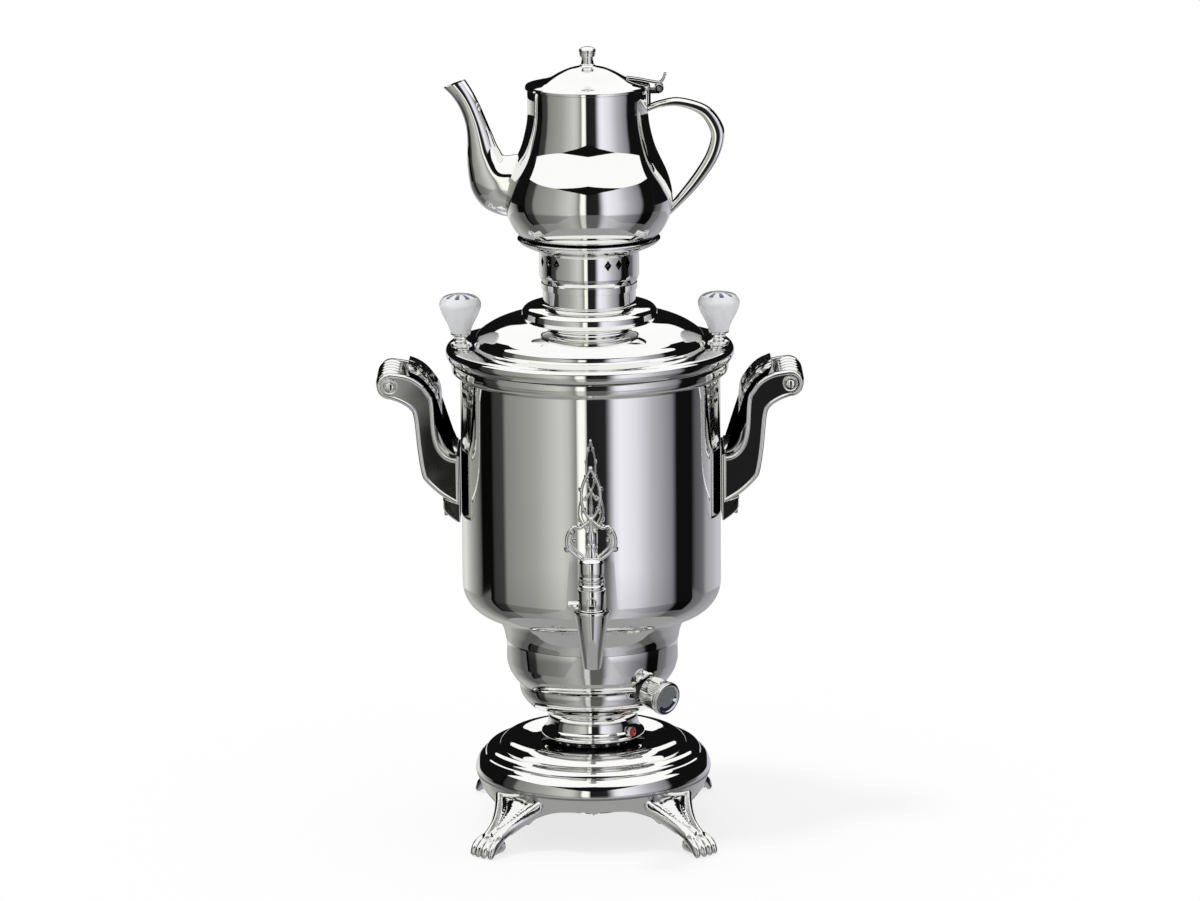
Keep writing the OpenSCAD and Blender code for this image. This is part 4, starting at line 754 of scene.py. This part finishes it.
# ---- Lid knobs ----
# Two porcelain knobs with a white glaze and a painted ring of dark blue petals on their crown,
# each on a waisted metal stem and held by a screw from below.
def glazed(name, centres):
    """White glaze; blue petal strokes lie round the crown, at 6 to 12 mm from the knob's axis."""
    made, tree = finish_tree(name)
    place = add(tree, "TexCoord")
    parts = add(tree, "SeparateXYZ", [("Vector", place.outputs["Object"])])
    far = add(tree, "Math", [(0, parts.outputs["X"])], operation="ABSOLUTE")
    x = add(tree, "Math", [(0, far)], operation="SUBTRACT", in1=centres / 1000)
    flat = add(tree, "CombineXYZ", [("X", x), ("Y", parts.outputs["Y"])])
    out = add(tree, "VectorMath", [(0, flat)], operation="LENGTH")
    turn = add(tree, "Math", [(0, parts.outputs["Y"]), (1, x)], operation="ARCTAN2")
    count = add(tree, "Math", [(0, turn)], operation="MULTIPLY", in1=9 / 2)
    petal = add(tree, "Math", [(0, count)], operation="COSINE")
    slim = add(tree, "Math", [(0, petal)], operation="ABSOLUTE")
    band = add(tree, "MapRange", [("Value", out.outputs["Value"])], interpolation_type="SMOOTHSTEP",
               From_Min=0.0042, From_Max=0.0058)
    fade = add(tree, "MapRange", [("Value", out.outputs["Value"])], interpolation_type="SMOOTHSTEP",
               From_Min=0.0118, From_Max=0.0132, To_Min=1.0, To_Max=0.0)
    ringed = add(tree, "Math", [(0, band), (1, fade)], operation="MULTIPLY")
    ink = add(tree, "Math", [(0, slim), (1, ringed)], operation="MULTIPLY")
    edge = add(tree, "MapRange", [("Value", ink)], interpolation_type="SMOOTHSTEP",
               From_Min=0.7, From_Max=0.84)
    height = add(tree, "Math", [(0, parts.outputs["Z"])], operation="GREATER_THAN", in1=0.391)
    top = add(tree, "Math", [(0, edge), (1, height)], operation="MULTIPLY")
    paint = add(tree, "Mix", [("Factor", top)], data_type="RGBA",
                in6=linear("e9eaec"), in7=linear("1c2a55"))
    glaze = add(tree, "BsdfPrincipled", [("Base Color", paint.outputs[2])],
                Roughness=0.22, Coat_Weight=0.7, Coat_Roughness=0.04)
    add(tree, "OutputMaterial", [("Surface", glaze)])
    return made


knob_out = 94
porcelain = glazed("glazed_porcelain", knob_out)
for name, x in (("lid_knob_left", -knob_out), ("lid_knob_right", knob_out)):
    knob_place = Matrix.Translation((x, 0, 371))
    knob = bmesh.new()
    turned(knob, curve([(0, 0), (7, 0), (7.6, 2), (9.6, 7.2), (12.8, 13.3), (15.2, 19.7), (14.8, 23.2),
                        (12, 26.7), (6.2, 28.6), (0, 29)], 6), 96, knob_place)
    piece(name + "_porcelain", knob, porcelain, "lid", "porcelain", name)

stems = bmesh.new()
waisted = curve([(7.6, 0), (7.8, 1.2), (5.4, 2.6), (4.6, 4.3), (5.4, 6.6), (7.2, 7.5), (7.2, 8.4)], 5)
for x in (-knob_out, knob_out):
    turned(stems, [(2.1, 0)] + waisted + [(2.1, 8.5)], 72, Matrix.Translation((x, 0, 362.5)))
piece("lid_knob_stem_pair", stems, turned_chrome, "lid", "chromed_steel", "lid_knob_stems")


# ---- Crown collar ----
# Spun collar that slips over the lid's neck and carries the gallery. Its wall is pierced with
# four groups of three diamonds.
def pierced_wall(bm, radius, wall, low, high, middle, half_w, half_h, centres):
    """An upright tube whose wall has diamond holes at the given angles."""
    columns = []
    for step in range(720):
        angle = step / 2
        away = min((abs((angle - c + 180) % 360 - 180) for c in centres)) / half_w
        gap = half_h * max(0.0, 1 - away)
        a = math.radians(angle)
        column = []
        for r in (radius, radius - wall):
            for z in (low, middle - gap, middle + gap, high):
                column.append(bm.verts.new(Vector((r * math.sin(a), -r * math.cos(a), z)) * mm))
        columns.append(column)
    for one, two in zip(columns, columns[1:] + columns[:1]):
        open_here = max((one[2].co.z - one[1].co.z), (two[2].co.z - two[1].co.z)) > 1e-6
        for k, m in ((0, 1), (2, 3), (4, 5), (6, 7), (0, 4), (3, 7)):
            bm.faces.new([one[k], two[k], two[m], one[m]])
        if open_here:
            for k, m in ((1, 5), (2, 6)):
                bm.faces.new([one[k], two[k], two[m], one[m]])
    bmesh.ops.remove_doubles(bm, verts=bm.verts, dist=1e-6)


collar = bmesh.new()
pierced_wall(collar, 36.4, 1.0, 416.4, 431, 425.6, 4.5, 4.0,
             [c + 14 * i for c in (36, 126, 216, 306) for i in (-1, 0, 1)])
turned(collar, walled([(34.9, 404), (34.9, 408.5)] + curve(
    [(34.4, 409.1), (35.2, 411), (36.2, 413.7), (36.4, 416.4)], 5), 1.0), 180)
turned(collar, [(30.4, 397), (31.2, 397), (31.2, 404), (34.4, 404), (34.4, 405), (30.4, 405)], 144)
piece("crown_collar_pierced", collar, polished_chrome, "crown", "chromed_steel", "crown_collar")


# ---- Gallery ----
# Shallow spun pan with a wired rim that carries the teapot. Round holes in its floor let the
# steam up to the pot's bottom.
def pierced_plate(bm, loops, low, high):
    """A flat plate between two heights; the first loop is its edge, the others are holes."""
    sheets = []
    for z in (low, high):
        sheet_edges = []
        rings = []
        for loop in loops:
            ring = [bm.verts.new(Vector((p[0], p[1], z)) * mm) for p in loop]
            sheet_edges += [bm.edges.new((ring[k - 1], ring[k])) for k in range(len(ring))]
            rings.append(ring)
        bmesh.ops.triangle_fill(bm, edges=sheet_edges, use_beauty=True)
        sheets.append(rings)
    for below, above in zip(*sheets):
        skin_between(bm, below, above)


def circle(radius, count, x=0.0, y=0.0):
    return [(x + radius * math.cos(2 * math.pi * k / count), y + radius * math.sin(2 * math.pi * k / count))
            for k in range(count)]


gallery = bmesh.new()
steam_holes = [circle(3.5, 24, x, y) for x, y in circle(24, 12)]
pierced_plate(gallery, [circle(43.2, 120), circle(12, 60)] + steam_holes, 435, 436)
turned(gallery, walled(curve([(36.4, 431), (37.8, 432.4), (42.4, 434.2), (47.7, 436.6), (50.5, 438.5),
                              (51.2, 440.2)], 6), 1.0), 200)
turned(gallery, circle(1.1, 16, 50.9, 440.5), 200)
piece("gallery_pan", gallery, polished_chrome, "crown", "chromed_steel", "gallery")


# ---- Teapot body ----
# Thin spun pot, polished, with a soft belly and a tall neck. It stands loose in the gallery, and
# the strainer holes in its wall, out of sight behind the spout's root, aren't drawn.
pot_outside = (
    curve([(38, 436), (46.5, 439.9), (53.7, 447.2), (58.6, 456.6), (60.7, 464.5), (61, 472), (59.8, 479.5),
           (56.7, 489.5), (48.8, 507), (45, 521), (43.75, 530), (43.6, 536)], 20)
    + [(43.6, 543), (43.7, 549.4), (43.4, 550)])
pot = bmesh.new()
turned(pot, [(0, 436.3), (37, 436)] + walled(pot_outside, 0.9) + [(0, 437)], 220)
piece("teapot_shell", pot, polished_chrome, "pot", "chromed_steel", "teapot_body")


# ---- Teapot spout ----
# Drawn in two halves and welded: deep at the root, with a soft ridge along its front and slim at
# the bend. The small notch cut at its mouth isn't drawn.
pot_base_z = 436
spout_rows = [
    (56, 44, 22.5, 15, 100), (67.5, 46.5, 20, 14, 110), (73.8, 55, 17.8, 12, 124),
    (76.8, 66, 13.8, 9.6, 136), (78.2, 78, 9.8, 7.6, 152), (80.6, 89.5, 7.6, 6.4, 160),
    (84.8, 101, 7, 5.8, 164), (90, 110.5, 7.4, 5.4, 164), (95.8, 118, 8.2, 5.2, 160)]
spout_sides = 56


def spout_ring(row, wall):
    """One section: centre, half height, half width and the angle of its upper side."""
    tilt = math.radians(row[4])
    ring = []
    for k in range(spout_sides):
        a = 2 * math.pi * k / spout_sides
        ridge = 1 + 0.05 * max(0.0, -math.cos(a)) ** 8
        u, w = (row[2] - wall) * math.cos(a) * ridge, (row[3] - wall) * math.sin(a)
        ring.append(Vector((-row[0] - u * math.cos(tilt), w, pot_base_z + row[1] + u * math.sin(tilt))))
    return ring


def pot_radius(z):
    """Radius of the pot's outside at a height."""
    for p, q in zip(pot_outside, pot_outside[1:]):
        if p[1] <= z <= q[1] and q[1] > p[1]:
            return p[0] + (q[0] - p[0]) * (z - p[1]) / (q[1] - p[1])
    return 43.6


spout = bmesh.new()
shells = []
for wall in (0, 0.9):
    rings = []
    for i, row in enumerate(curve(spout_rows, 6)):
        ring = spout_ring(row, wall)
        if i == 0:
            ring = [Vector((-math.sqrt((pot_radius(p[2]) - 0.2) ** 2 - p[1] ** 2), p[1], p[2])) for p in ring]
        rings.append([spout.verts.new(p * mm) for p in ring])
    shells.append(rings)
for rings in shells:
    for ring, beyond in zip(rings, rings[1:]):
        skin_between(spout, ring, beyond)
for end in (0, -1):
    skin_between(spout, shells[0][end], shells[1][end])
piece("teapot_spout_shell", spout, polished_chrome, "pot", "chromed_steel", "teapot_spout", sharp=50)


# ---- Teapot handle ----
# Hollow strap, thin where it leaves the pot and deepest at its outer bend, with soft edges. It
# is brazed to the neck and the belly.
strap_outer = curve([(43.2, 537.2), (53.6, 540.6), (67, 542), (86, 536), (96.5, 523), (97.5, 511),
                     (91.5, 495), (77, 475.5), (58.2, 457)], 8)
strap_inner = curve([(43.2, 533.4), (52.6, 536.6), (66, 537), (80, 531.5), (87, 522), (88.8, 513), (85, 500),
                     (74, 482.7), (57.8, 462.4)], 8)
strap = bmesh.new()
strap_rings = []
for outer, inner in zip(strap_outer, strap_inner):
    out = (outer - inner).normalized()
    section = []
    for lean, y in ((0.9, 0), (0.35, 3.6), (0, 6.4), (-0.5, 7.2), (-1.2, 7.5)):
        section.append((outer + out * (lean - 0.3), y))
    for lean, y in ((1.2, 7.5), (0.5, 7.2), (0, 6.4), (-0.2, 3.2), (-0.2, 0)):
        section.append((inner + out * lean, y))
    mirrored = [(p, -y) for p, y in section[-2:0:-1]]
    strap_rings.append([strap.verts.new(Vector((p[0], y, p[1])) * mm) for p, y in section + mirrored])
for ring, beyond in zip(strap_rings, strap_rings[1:]):
    skin_between(strap, ring, beyond)
strap.faces.new(strap_rings[0])
strap.faces.new(strap_rings[-1][::-1])
piece("teapot_strap", strap, polished_chrome, "pot", "chromed_steel", "teapot_handle", sharp=40)


# ---- Teapot lid and hinge ----
# Domed lid on a knuckle hinge whose pin lies beside the pot's mouth. A curled thumb lever opens
# it, and a turned knob stands on its top.
hinge_axis = Matrix.Translation((51.5, 0, 550)) @ Matrix.Rotation(math.radians(90), 4, "X")
hinge = bmesh.new()
block(hinge, (43.8, -6, 538), (45.4, 6, 549))
for y0, y1 in ((-7, -3.5), (3.5, 7)):
    block(hinge, (44, y0, 546.6), (51.5, y1, 549))
    turned(hinge, [(1.05, -y1), (3, -y1), (3.2, -y1 + 0.2), (3.2, -y0 - 0.2), (3, -y0), (1.05, -y0)],
           40, hinge_axis)
piece("hinge_knuckles", hinge, turned_chrome, "pot", "chromed_steel", "hinge_bracket")

pot_lid = bmesh.new()
pot_lid_outside = ([(45.2, 550), (45.2, 551.6)] + curve(
    [(44.6, 552.6), (41.2, 553.4), (35.2, 554.8), (28.2, 557), (21.2, 560.9), (13.2, 564.4), (6, 566)], 6)
    + [(1.8, 566)])
turned(pot_lid, walled(pot_lid_outside, 0.9), 200)
turned(pot_lid, [(41.3, 547), (42.1, 547), (42.1, 550), (44.8, 550), (44.8, 550.9), (41.3, 550.9)], 160)
lever = curve([(28.2, 557.4), (37.2, 556.1), (45.2, 554.5), (51.5, 553.6), (54.5, 556), (56.1, 560.5)], 6)
slab(pot_lid, list(inset(lever, 0.9)) + list(inset(lever, -0.9))[::-1], -3.2, 3.2, 0.5)
turned(pot_lid, [(1.05, -3.2), (3.2, -3.2), (3.2, 3.2), (1.05, 3.2)], 40, hinge_axis)
piece("teapot_lid_shell", pot_lid, polished_chrome, "pot_lid", "chromed_steel", "teapot_lid")

pot_knob = bmesh.new()
turned(pot_knob, [(0, 0)] + curve([(6, 0), (5.4, 1), (4.6, 1.8), (4.3, 4), (4.4, 6.6)], 5)
       + [(5.3, 7.0), (5.7, 7.4), (5.8, 9.2), (5.6, 9.5)]
       + curve([(6, 9.8), (6.1, 11), (5.4, 12.6), (3, 13.8), (0, 14.2)], 5), 72,
       Matrix.Translation((0, 0, 566)))
piece("teapot_lid_knob_turned", pot_knob, turned_chrome, "pot_lid", "chromed_steel", "teapot_lid_knob")


# ---- Studio ----
# White table and background, a ring of grey and white cards that only the polished metal
# sees, one broad soft lamp from the front left and even fill light.
def table_paint():
    """White tabletop near the object; far away it turns into the plain white background."""
    made, tree = finish_tree("white_table")
    place = add(tree, "TexCoord")
    far = add(tree, "VectorMath", [(0, place.outputs["Object"])], operation="LENGTH")
    edge = add(tree, "MapRange", [("Value", far.outputs["Value"])], interpolation_type="SMOOTHSTEP",
               From_Min=0.45, From_Max=0.9)
    grain = add(tree, "TexNoise", [("Vector", place.outputs["Object"])], Scale=1000 / 30)
    rough = add(tree, "MapRange", [("Value", grain)], To_Min=0.75, To_Max=0.9)
    near = add(tree, "BsdfPrincipled", [("Roughness", rough)],
               Base_Color=(1, 1, 1, 1), Specular_IOR_Level=0.0)
    white = add(tree, "Emission", Color=(1, 1, 1, 1), Strength=1.0)
    eye = add(tree, "LightPath")
    share = add(tree, "MapRange", [("Value", edge)], To_Min=0.76, To_Max=1.0)
    plain_white = add(tree, "Math", [(0, share), (1, eye.outputs["Is Camera Ray"])], operation="MULTIPLY")
    both = add(tree, "MixShader", [(0, plain_white), (1, near), (2, white)])
    add(tree, "OutputMaterial", [("Surface", both)])
    return made


def studio_mesh(name, bm, finish):
    mesh = bpy.data.meshes.new(name)
    bm.to_mesh(mesh)
    bm.free()
    mesh.materials.append(finish)
    made = bpy.data.objects.new(name, mesh)
    bpy.context.scene.collection.objects.link(made)
    return made


floor_bm = bmesh.new()
floor_bm.faces.new([floor_bm.verts.new((x, y, 0)) for x, y in circle(14, 64)])
floor = studio_mesh("table_top", floor_bm, table_paint())
floor.visible_glossy = False


def ring_of_cards():
    """Brightness round the object: 0 is towards the camera, and it grows towards the right. Grey
    and white cards stand in front under a white ceiling, with black between them. Behind the
    object the cards end below the table's height."""
    made, tree = finish_tree("studio_cards")
    place = add(tree, "UVMap")
    split = add(tree, "SeparateXYZ", [("Vector", place.outputs["UV"])])
    ramp = add(tree, "ValToRGB", [(0, split.outputs["X"])])
    stops = ramp.color_ramp.elements
    marks = [(-180, 0.6), (-150, 0.8), (-132, 0.4), (-116, 0.1), (-113, 0.003), (-98, 0.003), (-95, 0.04),
             (-84, 0.05), (-80, 0.25), (-50, 0.38), (-26, 0.64), (-19, 0.56), (-12.5, 0.24), (-10.6, 1.1),
             (-4.4, 1.1), (-3.8, 0.012), (13, 0.02), (15, 0.15), (21, 0.85), (26, 1.0), (40, 0.85),
             (56, 0.5), (76, 0.24), (81, 0.006), (100, 0.006), (106, 0.1), (117, 0.16), (124, 0.4),
             (150, 0.6), (180, 0.6)]
    while len(stops) < len(marks):
        stops.new(0.5)
    for stop, (angle, value) in zip(stops, marks):
        stop.position = (angle + 180) / 360
        tint = (1.0, 1.01, 0.95) if angle < 0 else (0.975, 0.96, 1.05)
        stop.color = [value * part for part in tint] + [1]
    # Heights as (z + 8 m) / 20 m: the cards' upper edge, the ceiling's lower edge, the table's edge
    level = add(tree, "ValToRGB", [(0, split.outputs["X"])])
    steps = level.color_ramp.elements
    right = [(0, 0.555, 0.665, 0.305), (20, 0.58, 0.64, 0.305), (50, 0.6, 0.6, 0.14), (100, 0.57, 0.57, 0.12),
             (101, 0.37, 0.85, 0.3), (132, 0.37, 0.8, 0.3), (148, 0.37, 0.58, 0.3), (180, 0.37, 0.58, 0.3)]
    edges = [(-angle, *levels) for angle, *levels in right[:0:-1]] + right
    while len(steps) < len(edges):
        steps.new(0.5)
    for step, (angle, card, ceiling, table) in zip(steps, edges):
        step.position = (angle + 180) / 360
        step.color = (card, ceiling, table, 1)
    heights = add(tree, "SeparateColor", [("Color", level.outputs["Color"])])
    at = add(tree, "Math", [(0, split.outputs["Y"])], operation="MULTIPLY_ADD", in1=0.05, in2=0.4)
    upward = add(tree, "MapRange", [("Value", split.outputs["Y"])], From_Min=-2.6, From_Max=-1.95,
                 To_Min=0.55, To_Max=1.0)
    lit = add(tree, "VectorMath", [(0, ramp.outputs["Color"]), ("Scale", upward)],
              operation="SCALE")
    black = add(tree, "Math", [(0, at), (1, heights.outputs["Red"])], operation="GREATER_THAN")
    white = add(tree, "Math", [(0, at), (1, heights.outputs["Green"])], operation="GREATER_THAN")
    table = add(tree, "Math", [(0, at), (1, heights.outputs["Blue"])], operation="LESS_THAN")
    cut = add(tree, "Mix", [("Factor", black), (6, lit)], data_type="RGBA",
              in7=(0.006, 0.006, 0.006, 1))
    covered = add(tree, "Mix", [("Factor", white), (6, cut.outputs[2])],
                  data_type="RGBA", in7=(1.1, 1.1, 1.1, 1))
    cloth = add(tree, "Mix", [(6, ramp.outputs["Color"])], data_type="RGBA", Factor=0.5,
                in7=(0.22, 0.22, 0.22, 1))
    whole = add(tree, "Mix", [("Factor", table), (6, covered.outputs[2]), (7, cloth.outputs[2])],
                data_type="RGBA")
    glow = add(tree, "Emission", [("Color", whole.outputs[2])], Strength=1.0)
    add(tree, "OutputMaterial", [("Surface", glow)])
    return made


def glow_paint(name, value):
    made, tree = finish_tree(name)
    place = add(tree, "TexCoord")
    blur = add(tree, "TexNoise", [("Vector", place.outputs["Object"])], Scale=0.5)
    level = add(tree, "MapRange", [("Value", blur)], To_Min=value * 0.94, To_Max=value * 1.06)
    glow = add(tree, "Emission", [("Strength", level)], Color=(1, 1, 1, 1))
    add(tree, "OutputMaterial", [("Surface", glow)])
    return made


card_radius = 8.0
card_low = -9.0
card_high = 11.0
wall_bm = bmesh.new()
wall_uv = wall_bm.loops.layers.uv.new("round")
wall_steps = 180
for step in range(wall_steps):
    quad = []
    for around, z in ((step, card_low), (step + 1, card_low), (step + 1, card_high), (step, card_high)):
        a = math.radians(-180 + 360 * around / wall_steps)
        quad.append((Vector((card_radius * math.sin(a), -card_radius * math.cos(a), z)),
                     (around / wall_steps, z)))
    face = wall_bm.faces.new([wall_bm.verts.new(p) for p, uv in quad])
    for loop, (p, uv) in zip(face.loops, quad):
        loop[wall_uv].uv = uv
cards = [studio_mesh("ring_of_cards", wall_bm, ring_of_cards())]
for name, z, value in (("ceiling_softbox", card_high, 1.1), ("floor_card", card_low, 0.36)):
    disc = bmesh.new()
    disc.faces.new([disc.verts.new((x, y, z)) for x, y in circle(card_radius + 0.1, 64)])
    cards.append(studio_mesh(name, disc, glow_paint(name + "_glow", value)))
for card in cards:
    card.visible_camera = False
    card.visible_diffuse = False
    card.visible_transmission = False
    card.visible_shadow = False

world = bpy.data.worlds.new("studio_world")
bpy.context.scene.world = world
world.use_nodes = True
world.node_tree.nodes.clear()
path = add(world.node_tree, "LightPath")
seen = add(world.node_tree, "Math", [(0, path.outputs["Is Camera Ray"])], operation="MULTIPLY_ADD",
           in1=0.28, in2=0.72)
sky = add(world.node_tree, "Background", [("Strength", seen)], Color=(1, 1, 1, 1))
add(world.node_tree, "OutputWorld", [("Surface", sky)])

lamp_data = bpy.data.lights.new("broad_soft_lamp", "SUN")
lamp_data.angle = math.radians(9)
lamp_data.energy = 0.95
soft_lamp = bpy.data.objects.new("broad_soft_lamp", lamp_data)
bpy.context.scene.collection.objects.link(soft_lamp)
soft_lamp.rotation_euler = Vector((-0.42, -0.2, 1.5)).to_track_quat("Z", "Y").to_euler()
soft_lamp.visible_glossy = False


# ---- Camera ----
# Long lens in front of the tap, a little above the pot and tilted down, so that the samovar
# shows upright and with little perspective as in the photo.
camera_data = bpy.data.cameras.new("studio_camera")
camera = bpy.data.objects.new("studio_camera", camera_data)
bpy.context.scene.collection.objects.link(camera)
camera_data.sensor_width = 36
camera_data.lens = 157.0
camera_data.clip_start = 0.1
camera_data.clip_end = 60
camera_spot = Vector((0.0068, -3.74, 1.1))
look = Matrix.Rotation(math.radians(90 - 12.33), 4, "X") @ Matrix.Rotation(math.radians(-0.47), 4, "Z")
camera.matrix_world = Matrix.Translation(camera_spot) @ look
bpy.context.scene.camera = camera
bpy.context.scene.view_settings.view_transform = "Standard"
